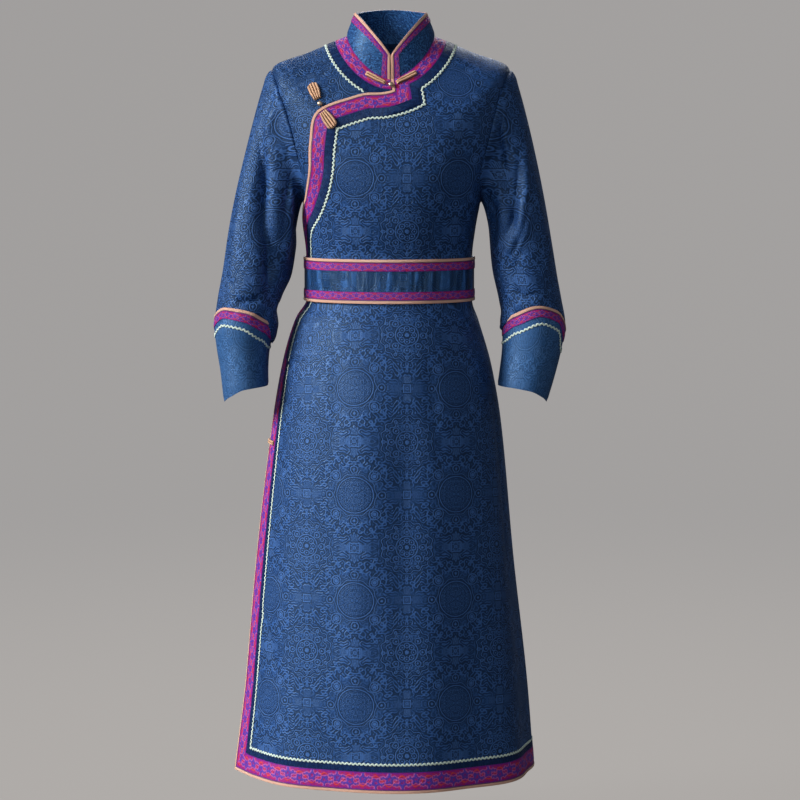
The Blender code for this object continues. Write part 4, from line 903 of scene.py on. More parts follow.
def grid_faces(rows, columns, closed=False):
    """Two triangles for each cell of a grid, with the row and column of each."""
    across = columns if closed else columns - 1
    i, j = np.meshgrid(np.arange(rows - 1), np.arange(across), indexing="ij")
    a = (i * columns + j).reshape(-1)
    b = (i * columns + (j + 1) % columns).reshape(-1)
    c, d = a + columns, b + columns
    faces = np.stack([np.stack([a, c, d], 1), np.stack([a, d, b], 1)], 1).reshape(-1, 3)
    cells = np.stack([i.reshape(-1), j.reshape(-1)], 1).repeat(2, axis=0)
    return faces, cells


# ---------------------------------------------------------------- places on the flat cloth

def ring_arc(turn, drop):
    """Level distance round the body from the centre front to each point."""
    ring = ring_at(drop)
    steps = np.linspace(0, 1, 25)[:, None]
    angle = turn[None] * steps
    wide = np.where(np.sin(angle) < 0, ring["right"], ring["left"])
    deep = np.where(np.cos(angle) > 0, -ring["y_front"], ring["y_back"])
    speed = np.hypot(wide * np.cos(angle), deep * np.sin(angle))
    return np.sum((speed[1:] + speed[:-1]) / 2, 0) * turn / 24


def body_pattern(net):
    """Each face corner of a body panel on the flat cloth."""
    u = ring_arc(net.chart[:, 0], net.chart[:, 1])
    point, out = net.points, net.normals
    slope = np.where(np.cos(net.chart[:, 0]) > 0, point[:, 1] + 0.11, 0.10 - point[:, 1])
    v = -point[:, 2] - slope * np.clip(out[:, 2], 0, 1)
    return np.stack([u, v], 1)[net.faces]


# ---------------------------------------------------------------- shared seam lines

def degrees_line(start, end, count, drop):
    turn = np.radians(np.linspace(start, end, count + 1))
    return np.stack([turn, np.full(count + 1, drop)], 1)


def seam_down(turn, top, foot, step=EDGE_STEP):
    count = max(1, round(abs(foot - top) / step))
    drop = np.linspace(top, foot, count + 1)
    return np.stack([np.full(count + 1, math.radians(turn)), drop], 1)


PHASES = np.linspace(0, 2 * math.pi, ARM_COLUMNS, endpoint=False)
NECK_STEPS = 24             # steps of a quarter of the neckline
HEM_STEPS = 52              # steps of a quarter of the hem
SHOULDER_DROP = ARMHOLE[0][3]
UNDERARM_DROP = ARMHOLE[4][3]
PAST_SIDE = 7               # degrees by which a border's lines run on past the side seam


def armhole_half(side, which):
    """The armhole's front half from shoulder to underarm, or its back half."""
    half = ARM_COLUMNS // 2
    steps = np.arange(half + 1)
    phase = steps * 2 * math.pi / ARM_COLUMNS
    if which == "back":
        phase = -phase
    turn, drop = armhole(side, phase)
    if which == "back" and side == "left":
        turn = np.where(turn < 0, turn + 2 * math.pi, turn)
    return np.stack([turn, drop], 1)


def join(*lines):
    """Lines end to end, with doubled points left out."""
    points = [lines[0][0]]
    for line in lines:
        for point in line:
            if np.linalg.norm((point - points[-1]) * (CHART, 1)) > 1e-5:
                points.append(point)
    if np.linalg.norm((points[0] - points[-1]) * (CHART, 1)) < 1e-5:
        points.pop()
    return np.array(points)


def overlap_edge():
    """The overlap's free edge: from the drop corner down the chest and side to the hem."""
    chest = table(CHEST_EDGE_COLUMNS, CHEST_EDGE)
    side = table(SIDE_EDGE_COLUMNS, SIDE_EDGE)
    points = np.vstack([on_front(chest["x"], chest["z"]), at_level(side["turn"], side["z"])])
    points[-1, 1] = HEM
    return spaced(overlap, points, EDGE_STEP)


def strip(surface, line, width):
    """Chart outline of the band between a line and its offset, and the offset."""
    inner = offset_line(surface, line, width)
    return np.vstack([line, inner[::-1]]), inner


# ---------------------------------------------------------------- materials

class Wire:
    """A number from a node, with arithmetic that adds more nodes."""

    def __init__(self, cloth, socket):
        self.cloth = cloth
        self.socket = socket

    def __add__(self, other):
        return self.cloth.math("ADD", self, other)

    def __sub__(self, other):
        return self.cloth.math("SUBTRACT", self, other)

    def __mul__(self, other):
        return self.cloth.math("MULTIPLY", self, other)

    def sine(self, length=1.0):
        """A wave of the given length."""
        return self.cloth.math("SINE", self * (2 * math.pi / length))

    def fold(self, half):
        """Runs up and down between 0 and half."""
        return self.cloth.math("PINGPONG", self, half)

    def size(self):
        return self.cloth.math("ABSOLUTE", self)

    def above(self, edge, soft):
        """0 below an edge, 1 above it."""
        return self.cloth.smooth(self, edge - soft, edge + soft, 0.0, 1.0)

    def line(self, at, half, soft):
        """1 on a line where the number is near a value, 0 away from it."""
        return self.cloth.smooth((self - at).size(), half - soft, half + soft, 1.0, 0.0)


class Cloth:
    """A material being made."""

    def __init__(self, name, roughness, specular=0.4, metallic=0.0):
        self.material = bpy.data.materials.new(name)
        self.material.use_nodes = True
        self.tree = self.material.node_tree
        self.shader = self.tree.nodes["Principled BSDF"]
        self.set("Roughness", roughness)
        self.set("Specular IOR Level", specular)
        self.set("Metallic", metallic)

    def node(self, kind, **settings):
        made = self.tree.nodes.new(kind)
        for name, value in settings.items():
            setattr(made, name, value)
        return made

    def feed(self, socket, value):
        if isinstance(value, Wire):
            self.tree.links.new(value.socket, socket)
        elif isinstance(value, tuple) and len(value) == 3 and socket.type == "RGBA":
            socket.default_value = (*value, 1.0)
        else:
            socket.default_value = value

    def set(self, name, value):
        self.feed(self.shader.inputs[name], value)

    def math(self, operation, *values):
        made = self.node("ShaderNodeMath", operation=operation)
        for socket, value in zip(made.inputs, values):
            self.feed(socket, value)
        return Wire(self, made.outputs[0])

    def smooth(self, value, low, high, at_low, at_high):
        made = self.node("ShaderNodeMapRange", interpolation_type="SMOOTHSTEP")
        for socket, part in zip(made.inputs, (value, low, high, at_low, at_high)):
            self.feed(socket, part)
        return Wire(self, made.outputs[0])

    def most(self, *values):
        best = values[0]
        for value in values[1:]:
            best = self.math("MAXIMUM", best, value)
        return best

    def colours(self, *steps):
        """A colour laid over the ones before it by each (amount, colour)."""
        under = steps[0]
        for amount, colour in steps[1:]:
            made = self.node("ShaderNodeMix", data_type="RGBA")
            self.feed(made.inputs[0], amount)
            self.feed(made.inputs[6], under)
            self.feed(made.inputs[7], colour)
            under = Wire(self, made.outputs[2])
        return under

    def place(self, wobble=0.0, scale=400.0):
        """The two numbers of a point's place on the flat cloth."""
        u, v = self.split(Wire(self, self.node("ShaderNodeUVMap", uv_map="cloth").outputs[0]))
        if wobble:
            u = u + (self.noise(scale, u, v) - 0.5) * wobble
            v = v + (self.noise(scale, v, u) - 0.5) * wobble
        return u, v

    def point(self, u, v):
        made = self.node("ShaderNodeCombineXYZ")
        self.feed(made.inputs[0], u)
        self.feed(made.inputs[1], v)
        return Wire(self, made.outputs[0])

    def texture(self, kind, values, **settings):
        """A texture's first output, from the values of its inputs by name."""
        made = self.node(kind, **settings)
        for name, value in values.items():
            self.feed(made.inputs[name], value)
        return Wire(self, made.outputs[0])

    def noise(self, scale, u, v, detail=2.0):
        values = {"Vector": self.point(u, v), "Scale": scale, "Detail": detail}
        return self.texture("ShaderNodeTexNoise", values, noise_dimensions="2D")

    def space(self):
        """A point's place in the object's own axes."""
        return Wire(self, self.node("ShaderNodeTexCoord").outputs["Object"])

    def space_noise(self, scale, detail):
        values = {"Vector": self.space(), "Scale": scale, "Detail": detail}
        return self.texture("ShaderNodeTexNoise", values)

    def cells(self, scale, u, v, randomness):
        """Distance to the nearest of scattered points."""
        values = {"Vector": self.point(u, v), "Scale": scale, "Randomness": randomness}
        return self.texture("ShaderNodeTexVoronoi", values, voronoi_dimensions="2D")

    def split(self, where):
        """The first two numbers of a place."""
        made = self.node("ShaderNodeSeparateXYZ")
        self.feed(made.inputs[0], where)
        return (Wire(self, made.outputs[i]) for i in (0, 1))

    def polar(self, u, v, centre):
        """Distance and angle of a point from a centre."""
        x = u - centre[0]
        y = v - centre[1]
        return self.math("SQRT", x * x + y * y), self.math("ARCTAN2", y, x)

    def bump(self, height, depth, strength=1.0):
        made = self.node("ShaderNodeBump")
        self.feed(made.inputs["Height"], height)
        self.feed(made.inputs["Distance"], depth)
        self.feed(made.inputs["Strength"], strength)
        self.tree.links.new(made.outputs[0], self.shader.inputs["Normal"])


TILE = (0.182, 0.190)       # repeat of the brocade, across and down
SQUARE_AT = (-0.062, 0.325)     # a square medallion's place on the cloth
MM = 0.001
SOFT = 0.5 * MM             # softness of a woven line's edge
HALO = 2.0 * MM             # how far the painted dark shade of a light line reaches past it
BOLD = 1.15                 # makes every line of the drawing bolder


class Drawing:
    """Woven lines: the light threads, and painted shade on both sides of them, as beside a raised
    line.
    """

    def __init__(self, cloth):
        self.cloth = cloth
        self.light = []
        self.shade = []

    def add(self, away, half, weight=1.0):
        """A line, from the distance to its middle."""
        half = half * BOLD
        self.mask(away.line(0.0, half, SOFT) * weight, away.line(0.0, half + HALO, SOFT) * weight)

    def mask(self, light, shade):
        self.light.append(light)
        self.shade.append(shade)

    def ringlets(self, reach, angle, count, radius, size, weight=1.0):
        """Small rings set evenly round a centre, with a dot in each, from the angle 0."""
        round_it = angle.fold(math.pi / count) * radius
        out = reach - radius
        away = self.cloth.math("SQRT", out * out + round_it * round_it)
        self.add(away - size, 0.7 * MM, weight)
        self.add(away, size * 0.30, weight)

    def square(self, u, v, centre, half):
        """A square frame round a coin, with bars beside it."""
        x = (u - centre[0]).size()
        y = (v - centre[1]).size()
        box = self.cloth.most(x, y)
        away = self.cloth.math("SQRT", x * x + y * y)
        self.add(box - half, 0.9 * MM)
        self.add(box - half * 0.62, 0.5 * MM, 0.6)
        self.add(away - half * 0.30, 0.8 * MM)
        for across, along, reach in ((x, y, half + 10.5 * MM), (y, x, half + 9.0 * MM)):
            area = across.line(reach, 6.0 * MM, SOFT) * along.line(0.0, 6.5 * MM, SOFT)
            bars = along.fold(1.9 * MM)
            self.mask(area * bars.line(0.95 * MM, 0.5 * MM, SOFT), area)

    def done(self):
        return self.cloth.most(*self.light), self.cloth.most(*self.shade)


def jacquard(cloth, u, v):
    """The brocade's figures: the light lines and the painted shade round them.

    A quarter of the repeat is drawn and mirrored: square medallions and rings in one column,
    rosettes and small squares in the next, and scrolls in between.
    """
    wide, tall = TILE[0] / 2, TILE[1] / 2
    x = (u - SQUARE_AT[0]).fold(wide)
    y = (v - SQUARE_AT[1]).fold(tall)
    ring, ring_angle = cloth.polar(x, y, (0.0, tall))
    rose, rose_angle = cloth.polar(x, y, (wide, 0.0))
    drawn = Drawing(cloth)
    drawn.square(x, y, (0.0, 0.0), 8.5 * MM)
    drawn.square(x, y, (wide, tall), 6.5 * MM)
    drawn.add(ring - 32 * MM, 0.8 * MM)
    drawn.add(ring - 25 * MM, 0.5 * MM, 0.45)
    zigzag = (ring_angle * 10.0 + 1.2).sine(2 * math.pi) * (1.2 * MM)
    drawn.add(ring - 37 * MM - zigzag, 0.7 * MM, 0.8)
    for size in (9.5, 5.2):
        drawn.ringlets(ring, ring_angle + math.pi / 4, 4, 48 * MM, size * MM)
    drawn.ringlets(ring, ring_angle, 4, 46 * MM, 6.4 * MM)
    drawn.ringlets(ring, ring_angle, 6, 12 * MM, 3.6 * MM, 0.5)
    drawn.ringlets(rose, rose_angle, 8, 12.5 * MM, 4.4 * MM)
    drawn.add(rose, 3.4 * MM)
    drawn.add(rose - 20.5 * MM, 0.8 * MM)
    drawn.ringlets(rose, rose_angle, 8, 28.5 * MM, 5.2 * MM)
    zigzag = (rose_angle * 16.0).sine(2 * math.pi) * (2.0 * MM)
    for radius in (37, 46):
        drawn.add(rose - radius * MM - zigzag, 0.7 * MM)
    drawn.ringlets(rose, rose_angle, 12, 41.5 * MM, 2.4 * MM)
    speck = cloth.noise(420.0, x, y, 1.0) - 0.5
    inside = ring.line(0.0, 29 * MM, 2 * MM)
    dark = (speck * -1.0).above(0.06, 0.07)
    drawn.mask(speck.above(0.08, 0.07) * inside * 0.55, dark * inside * 0.6)
    curl = (cloth.noise(112.0, x, y, 0.0) * 2.6).sine(1.0)
    calm = cloth.noise(14.0, x, y, 1.0).above(0.36, 0.10)
    between = ring.above(50 * MM, 2 * MM) * rose.above(50 * MM, 2 * MM)
    free = (between + ring.line(41 * MM, 6.5 * MM, 2 * MM) * 0.6
            + rose.line(30 * MM, 11 * MM, 2 * MM) * 0.7) * calm
    drawn.mask(curl.above(0.50, 0.40) * free * 0.75, (curl * -1.0).above(0.20, 0.40) * free * 0.8)
    return drawn.done()


def satin_weave(cloth, u, v):
    """The fine floats of a satin ground."""
    return (u * 0.9 + v * 0.35).sine(0.9 * MM) * 0.5 + cloth.noise(2600.0, u, v) - 0.5


def tinted(colour, amount):
    return tuple(min(part * amount, 1.0) for part in colour)


def brocade(name, ground, roughness, strength=1.0):
    """Satin woven with figures tone on tone."""
    cloth = Cloth(name, roughness, 0.5)
    u, v = cloth.place(1.1 * MM, 230.0)
    light, shade = jacquard(cloth, u, v)
    weave = satin_weave(cloth, u, v)
    grain = cloth.noise(330.0, u, v * 0.6, 2.0)
    cloud = cloth.space_noise(7.0, 3.0)
    cloth.set("Base Color", cloth.colours(
        ground,
        ((cloud - 0.5).above(0.06, 0.16) * 0.45, tinted(ground, 1.25)),
        ((grain - 0.5).above(0.05, 0.12) * 0.4, tinted(ground, 1.45)),
        (((grain * -1.0) + 0.5).above(0.05, 0.12) * 0.5, tinted(ground, 0.62)),
        # shade: painted shade round the raised light lines, together with the dark specks, curls and
        # bar grounds of the figures
        (shade * (0.88 * strength), tinted(ground, 0.24)),
        (light * (0.88 * strength), (ground[0] * 3.9, ground[1] * 2.9, ground[2] * 2.5)),
    ))
    cloth.set("Roughness", (shade * 0.14 - light * 0.05) + (grain - 0.5) * 0.16 + roughness)
    cloth.set("Specular Tint", (0.42, 0.68, 1.0, 1.0))
    cloth.set("Sheen Weight", 0.06)
    cloth.set("Sheen Roughness", 0.4)
    cloth.set("Sheen Tint", (0.25, 0.5, 1.0, 1.0))
    cloth.bump(light * 0.7 - shade * 0.45 + weave * 0.12 + grain * 0.6, 0.0005, strength)
    return cloth.material


def braid_cloth(name):
    """Woven braid: a running vine and flowers on raspberry. Its place is in widths of the braid."""
    cloth = Cloth(name, 0.5, 0.35)
    u, v = cloth.place(0.13, 4.0)
    wave = 1.5
    swing = u.sine(wave)
    vine = (v - 0.5 - swing * 0.30).line(0.0, 0.040, 0.02)
    along = (u - wave / 4).fold(wave / 2)
    flowers, rims = [], []
    for centre, up in ((0.0, -1.0), (wave / 2, 1.0)):
        x = (along - centre).size()
        y = (v - 0.5) * up
        away, angle = cloth.polar(x, y, (0.0, 0.10))
        petals = away - (angle * 5.0).sine(2 * math.pi) * 0.045
        flowers.append(petals.line(0.15, 0.075, 0.03))
        rims.append(petals.line(0.275, 0.020, 0.02))
        for at, size in (((0.32, 0.20), 0.075), ((0.30, -0.16), 0.060), ((0.0, 0.40), 0.055)):
            away, _angle = cloth.polar(x, y, at)
            flowers.append(away.line(0.0, size, 0.025))
            rims.append(away.line(size + 0.040, 0.018, 0.02))
    flower, rim = cloth.most(*flowers), cloth.most(*rims)
    specks = cloth.cells(7.0, u, v, 1.0).line(0.0, 0.24, 0.06)
    edge = (v - 0.5).size().above(0.44, 0.015)
    thread = (v * 15.0 + u * 3.0).sine(1.0)
    grain = cloth.noise(6.0, u, v, 4.0)
    blot = cloth.noise(2.6, u, v, 1.0)
    cloth.set("Base Color", cloth.colours(
        (0.43, 0.012, 0.125),
        ((grain - 0.42).above(0.06, 0.08) * 0.75, (0.24, 0.014, 0.24)),
        ((blot - 0.5).above(0.08, 0.08) * 0.5, (0.52, 0.014, 0.055)),
        (specks * 0.6, (0.15, 0.03, 0.38)),
        (vine * 0.85, (0.66, 0.06, 0.045)),
        (rim * 0.60, (0.55, 0.20, 0.55)),
        (flower * 0.90, (0.055, 0.045, 0.42)),
        (edge * 0.85, (0.13, 0.012, 0.27)),
    ))
    cloth.set("Specular Tint", (1.0, 0.55, 0.8, 1.0))
    cloth.bump(cloth.most(vine, flower) * 0.8 + thread * 0.2 + grain * 0.4, 0.0005)
    return cloth.material


def ribbon_cloth(name):
    """Dark satin ribbon, with painted glints where it would catch the light, and a painted shadow
    along its edge beside the ric-rac.
    """
    cloth = Cloth(name, 0.45, 0.22)
    u, v = cloth.place()
    speck = cloth.noise(11.0, u, v, 4.0)
    rib = (u * 22.0).sine(1.0)
    painted_sheen = cloth.noise(2.2, u * 1.6, v * 0.5, 2.0)
    cloth.set("Base Color", cloth.colours(
        (0.006, 0.015, 0.070),
        ((speck - 0.5).above(0.03, 0.08) * 0.7, (0.014, 0.040, 0.15)),
        (((speck * -1.0) + 0.5).above(0.05, 0.08) * 0.6, (0.004, 0.011, 0.045)),
        # painted highlights: glints of the satin's sheen
        ((painted_sheen - 0.5).above(0.06, 0.1) * 0.45, (0.016, 0.055, 0.18)),
        # painted shadow of the ric-rac along the ribbon's inner edge
        (v.line(1.0, 0.08, 0.05) * 0.6, (0.004, 0.010, 0.022)),
    ))
    cloth.set("Specular Tint", (0.35, 0.6, 1.0, 1.0))
    cloth.bump(rib * 0.4 + speck, 0.00025)
    return cloth.material


def peach_cloth(name, cords=False):
    """Peach satin, as a folded binding or as turned cords."""
    cloth = Cloth(name, 0.42, 0.45)
    u, v = cloth.place()
    grain = cloth.noise(3.0, u * 4.0, v * 6.0, 3.0)
    if cords:
        twist = (u * 620.0 + v * 2.0).sine(1.0)
        groove_shade = v.fold(0.5).line(0.0, 0.13, 0.09)
        cloth.set("Base Color", cloth.colours(
            (0.78, 0.45, 0.27),
            (twist.above(0.3, 0.5) * 0.35, (0.90, 0.62, 0.42)),
            # painted shade in the grooves between the cords
            (groove_shade * 0.92, (0.17, 0.06, 0.02)),
        ))
        cloth.bump(twist * 0.4 + grain, 0.0004)
    else:
        weave = (u * 9.0 + v * 5.0).sine(1.0)
        seam = v.above(0.76, 0.05)
        cloth.set("Base Color", cloth.colours(
            (0.76, 0.44, 0.32),
            ((grain - 0.4) * 0.7, (0.86, 0.58, 0.44)),
            (seam * 0.92, (0.11, 0.015, 0.10)),
            # painted shade where the binding rolls round the panel's edge
            (v.line(0.0, 0.16, 0.12) * 0.35, (0.52, 0.22, 0.15)),
        ))
        cloth.bump(weave * 0.25 + grain * 0.5 - seam, 0.0003)
    cloth.set("Sheen Weight", 0.15)
    cloth.set("Sheen Roughness", 0.4)
    return cloth.material


def ricrac_cloth(name):
    """Pale green cotton cord with a fine plait."""
    cloth = Cloth(name, 0.7, 0.3)
    grain = cloth.space_noise(900.0, 2.0)
    patch = cloth.space_noise(90.0, 2.0)
    cloth.set("Base Color", cloth.colours(
        (0.62, 0.76, 0.68), ((grain - 0.35) * 0.9, (0.90, 0.94, 0.86)),
        ((patch - 0.5).above(0.05, 0.1) * 0.30, (0.34, 0.52, 0.50)),
    ))
    cloth.bump(grain, 0.0004)
    return cloth.material


def metal(name):
    """Gilt, paler and pearly in patches scattered at random."""
    cloth = Cloth(name, 0.28, 0.5, 0.75)
    grain = cloth.space_noise(700.0, 3.0)
    cloth.set("Base Color", cloth.colours(
        (0.62, 0.46, 0.30), ((grain - 0.42).above(0.1, 0.1) * 0.6, (0.85, 0.78, 0.70)),
    ))
    cloth.bump(grain, 0.0003)
    return cloth.material


def collar_satin(name):
    """Bright satin with small broken figures, and small glints and dark spots painted into its
    colour.
    """
    cloth = Cloth(name, 0.42, 0.35)
    u, v = cloth.place(1.2 * MM, 200.0)
    light, shade = jacquard(cloth, u * 1.3, v * 1.3)
    painted_sheen = cloth.noise(260.0, u, v, 2.0)
    # painted highlights and painted shade from the sheen noise, then the figures with their painted
    # shade
    cloth.set("Base Color", cloth.colours(
        (0.012, 0.046, 0.170),
        ((painted_sheen - 0.5).above(0.09, 0.05) * 0.9, (0.05, 0.18, 0.46)),
        ((painted_sheen * -1.0 + 0.5).above(0.06, 0.06) * 0.8, (0.005, 0.018, 0.065)),
        (shade * 0.6, (0.006, 0.024, 0.09)), (light * 0.6, (0.05, 0.18, 0.48)),
    ))
    cloth.set("Specular Tint", (0.35, 0.68, 1.0, 1.0))
    cloth.bump(painted_sheen * 0.7 + light * 0.5, 0.0004)
    return cloth.material


def belt_satin(name, ground):
    """Satin drawn tight and puckered between its braids, with upright glints and the shade between
    them painted into its colour.
    """
    cloth = Cloth(name, 0.30, 0.5)
    u, v = cloth.place(0.8 * MM, 260.0)
    light, shade = jacquard(cloth, u * 1.25, v * 1.25)
    painted_sheen = cloth.noise(38.0, u * 1.9, v * 0.22, 2.0)
    pucker = cloth.noise(46.0, u * 1.5, v * 0.25, 1.0)
    weave = satin_weave(cloth, u, v)
    # painted highlights where the sheen noise is high, painted shade where it is low, then the
    # figures with their painted shade
    cloth.set("Base Color", cloth.colours(
        ground, ((painted_sheen - 0.5).above(0.07, 0.06) * 0.8, tinted(ground, 3.2)),
        ((painted_sheen * -1.0 + 0.5).above(0.06, 0.08) * 0.6, tinted(ground, 0.5)),
        (shade * 0.7, tinted(ground, 0.4)), (light * 0.6, tinted(ground, 2.4)),
    ))
    cloth.set("Specular Tint", (0.5, 0.78, 1.0, 1.0))
    cloth.bump(pucker * 6.0 + light * 0.4 + weave * 0.1, 0.0009)
    return cloth.material


def studio_wall(name):
    """Plain pale paper that glows by its own emission, with a painted pool of light: a little lighter
    on the floor near the robe.
    """
    cloth = Cloth(name, 0.95, 0.0)
    cloth.set("Base Color", (0.02, 0.02, 0.02, 1.0))
    reach, _angle = cloth.polar(*cloth.split(cloth.space()), (0.0, 0.0))
    # painted light: the emission fades from near the robe outward
    far = cloth.smooth(reach, 0.3, 4.5, 0.0, 1.0)
    cloth.set("Emission Color", cloth.colours((0.415, 0.394, 0.378), (far, (0.345, 0.333, 0.328))))
    cloth.set("Emission Strength", 1.0)
    return cloth.material


MATERIALS = {
    "brocade": brocade("brocade", (0.0125, 0.048, 0.166), 0.42),
    "brocade_under": brocade("brocade_under", (0.0110, 0.042, 0.142), 0.42),
    "satin": brocade("satin", (0.026, 0.090, 0.245), 0.44, 0.45),
    "belt_satin": belt_satin("belt_satin", (0.0125, 0.048, 0.145)),
    "collar_satin": collar_satin("collar_satin"),
    "braid": braid_cloth("braid"),
    "ribbon": ribbon_cloth("ribbon"),
    "peach_satin": peach_cloth("peach_satin"),
    "cord": peach_cloth("cord", cords=True),
    "mint_ricrac": ricrac_cloth("mint_ricrac"),
    "gold_metal": metal("gold_metal"),
    "studio": studio_wall("studio"),
}


# ---------------------------------------------------------------- trims

def legs_of(surface, *legs):
    """Each leg as points in space, with the distance at which its first band starts."""
    return [(chart_line(surface, spaced_along(line, 3)), start) for line, start in legs]


def band_pattern(points, faces, legs, width, where=0.0):
    """Each face corner along and across a border, in widths of the band.

    The legs meet at mitred corners, and each face belongs to the nearest.
    """
    middle = points[faces].mean(1)
    best = np.full(len(faces), np.inf)
    flat = np.zeros((len(faces), 3, 2))
    for leg, start in legs:
        away, _along = nearest(middle, leg)
        take = np.nonzero(away - start < best)[0]
        if len(take):
            best[take] = away[take] - start
            far, along = nearest(points[faces[take]].reshape(-1, 3), leg, open_ends=True)
            flat[take] = np.stack([along + where, far - start], 1).reshape(-1, 3, 2)
        where += np.linalg.norm(np.diff(leg, axis=0), axis=1).sum()
    return flat / width


def nearest(points, leg, open_ends=False):
    """Distance to a line of segments, and how far along it."""
    a = leg[:-1]
    run = np.diff(leg, axis=0)
    length = np.linalg.norm(run, axis=1)
    run /= length[:, None]
    base = np.concatenate([[0], np.cumsum(length)[:-1]])
    away = np.full(len(points), np.inf)
    where = np.zeros(len(points))
    for i in range(len(a)):
        t = (points - a[i]) @ run[i]
        low = -np.inf if open_ends and i == 0 else 0
        high = np.inf if open_ends and i == len(a) - 1 else length[i]
        held = np.clip(t, low, high)
        gap = np.linalg.norm(points - a[i] - held[:, None] * run[i], axis=1)
        closer = gap < away
        away[closer] = gap[closer]
        where[closer] = base[i] + held[closer]
    return away, where


TRIM_ROLL = {"binding": 0.0008, "braid": 0.0004, "ribbon": 0.0003}
TRIM_FINISH = {"binding": "peach_satin", "braid": "braid", "ribbon": "ribbon"}
TRIM_WALL = {"binding": TRIM + 0.0004, "braid": TRIM, "ribbon": RIBBON_WALL}


def sew(name, part, points, out, faces, pattern, under=CLOTH):
    """One flat trim, on triangles of what carries it, with its pattern in widths of the trim."""
    return wall(name, TRIM_FINISH[part], points, out, faces, under + SINK,
                under + LAY + TRIM_WALL[part], DRAW_IN, pattern, TRIM_ROLL[part])


def lay_band(name, part, points, out, faces, legs, offset, width, under=CLOTH):
    """A trim that runs along the legs of a border."""
    where = [(leg, start + offset) for leg, start in legs]
    pattern = band_pattern(points, faces, where, width)
    return sew(f"{name}_{part}", part, points, out, faces, pattern, under)


RICRAC_STEP = 0.0009
RICRAC_WAVE = 0.0078        # length of one zigzag
RICRAC_SWING = 0.00145      # how far the cord swings to each side
RICRAC_HALF = 0.00160       # half the cord's width
RICRAC_DEEP = 0.0006        # half its thickness
RICRAC_SIDES = 8
RICRAC_SHARP = 0.93         # 0 for round bends, 1 for pointed ones


def ricrac(name, runs):
    """The zigzag cord along each run, a list of (points, normals, closed)."""
    verts = []
    polygons = []
    for points, out, closed in runs:
        if closed:
            points = np.vstack([points, points[:1]])
            out = np.vstack([out, out[:1]])
        length = np.concatenate([[0], np.cumsum(np.linalg.norm(np.diff(points, axis=0), axis=1))])
        waves = max(2, round(length[-1] / RICRAC_WAVE))
        count = waves * round(RICRAC_WAVE / RICRAC_STEP)
        at = np.linspace(0, length[-1], count + 1)
        line = np.stack([np.interp(at, length, points[:, k]) for k in range(3)], 1)
        normal = unit(np.stack([np.interp(at, length, out[:, k]) for k in range(3)], 1))
        run = unit(np.gradient(line, axis=0))
        side = unit(np.cross(normal, run))
        phase = np.linspace(0, waves * 2 * math.pi, count + 1)
        swing = np.arcsin(RICRAC_SHARP * np.sin(phase)) / math.asin(RICRAC_SHARP)
        line = line + side * (RICRAC_SWING * swing)[:, None]
        if closed:
            line, normal = line[:-1], normal[:-1]
            run = unit(np.roll(line, -1, 0) - np.roll(line, 1, 0))
        else:
            run = unit(np.gradient(line, axis=0))
        side = unit(np.cross(normal, run))
        angle = np.linspace(0, 2 * math.pi, RICRAC_SIDES, endpoint=False)
        wide = np.sign(np.cos(angle)) * np.abs(np.cos(angle)) ** 0.8 * RICRAC_HALF
        ring = side[:, None] * wide[None, :, None]
        ring = ring + normal[:, None] * (np.sin(angle) * RICRAC_DEEP)[None, :, None]
        centre = line + normal * (CLOTH + LAY / 2 + RICRAC_DEEP)
        start = sum(len(v) for v in verts)
        verts.append((centre[:, None] + ring).reshape(-1, 3))
        faces, _cells = grid_faces(len(line) + (1 if closed else 0), RICRAC_SIDES, closed=True)
        if closed:
            faces = faces % (len(line) * RICRAC_SIDES)
        polygons += (faces + start).tolist()
        if not closed:
            last = start + (len(line) - 1) * RICRAC_SIDES
            polygons.append(list(range(start, start + RICRAC_SIDES)))
            polygons.append(list(range(last + RICRAC_SIDES - 1, last - 1, -1)))
    mesh = bpy.data.meshes.new(name)
    mesh.from_pydata(np.vstack(verts).tolist(), [], polygons)
    turn_out(mesh)
    mesh.shade_smooth()
    return dress(mesh, name, "mint_ricrac")


def turn_out(mesh):
    """All the faces of closed bodies turned outward."""
    work = bmesh.new()
    work.from_mesh(mesh)
    bmesh.ops.recalc_face_normals(work, faces=work.faces)
    work.to_mesh(mesh)
    work.free()


def run_on(surface, line):
    """Points and normals of a chart line, for a cord along it."""
    fine = spaced_along(line, 3)
    return chart_line(surface, fine), normals(surface, fine[:, 0], fine[:, 1]), False


def meet(first, second):
    """Two chart lines cut at their crossing and joined into one."""
    for i in range(len(first) - 1, 0, -1):
        a, b = first[i - 1], first[i]
        for j in range(len(second) - 1):
            c, d = second[j], second[j + 1]
            r, s = b - a, d - c
            det = r[0] * s[1] - r[1] * s[0]
            if abs(det) < 1e-12:
                continue
            t = ((c - a)[0] * s[1] - (c - a)[1] * s[0]) / det
            u = ((c - a)[0] * r[1] - (c - a)[1] * r[0]) / det
            if 0 <= t <= 1 and 0 <= u <= 1:
                return np.vstack([first[:i], a + r * t, second[j + 1:]])
    return np.vstack([first, second])


# ---------------------------------------------------------------- body panels

PANEL_ROLL = 0.0011         # the turned edge of a panel
NECK_AT = np.cumsum((NECK_BRAID, NECK_RIBBON, RICRAC))
HEM_AT = np.cumsum((BINDING, HEM_BRAID, HEM_RIBBON, RICRAC))


def panel(name, finish, net):
    """A body panel's cloth."""
    return wall(name, finish, net.points, net.normals, net.faces, 0.0, CLOTH, DRAW_IN,
                body_pattern(net), PANEL_ROLL)


def bands_in(net, strips, choose=True):
    """The triangles of each band of a border, without the bands inside it."""
    taken = np.zeros(len(net.faces), bool)
    rings = []
    for outline, _inner in strips:
        band = net.within(outline) & choose
        rings.append(band & ~taken)
        taken |= band
    return rings


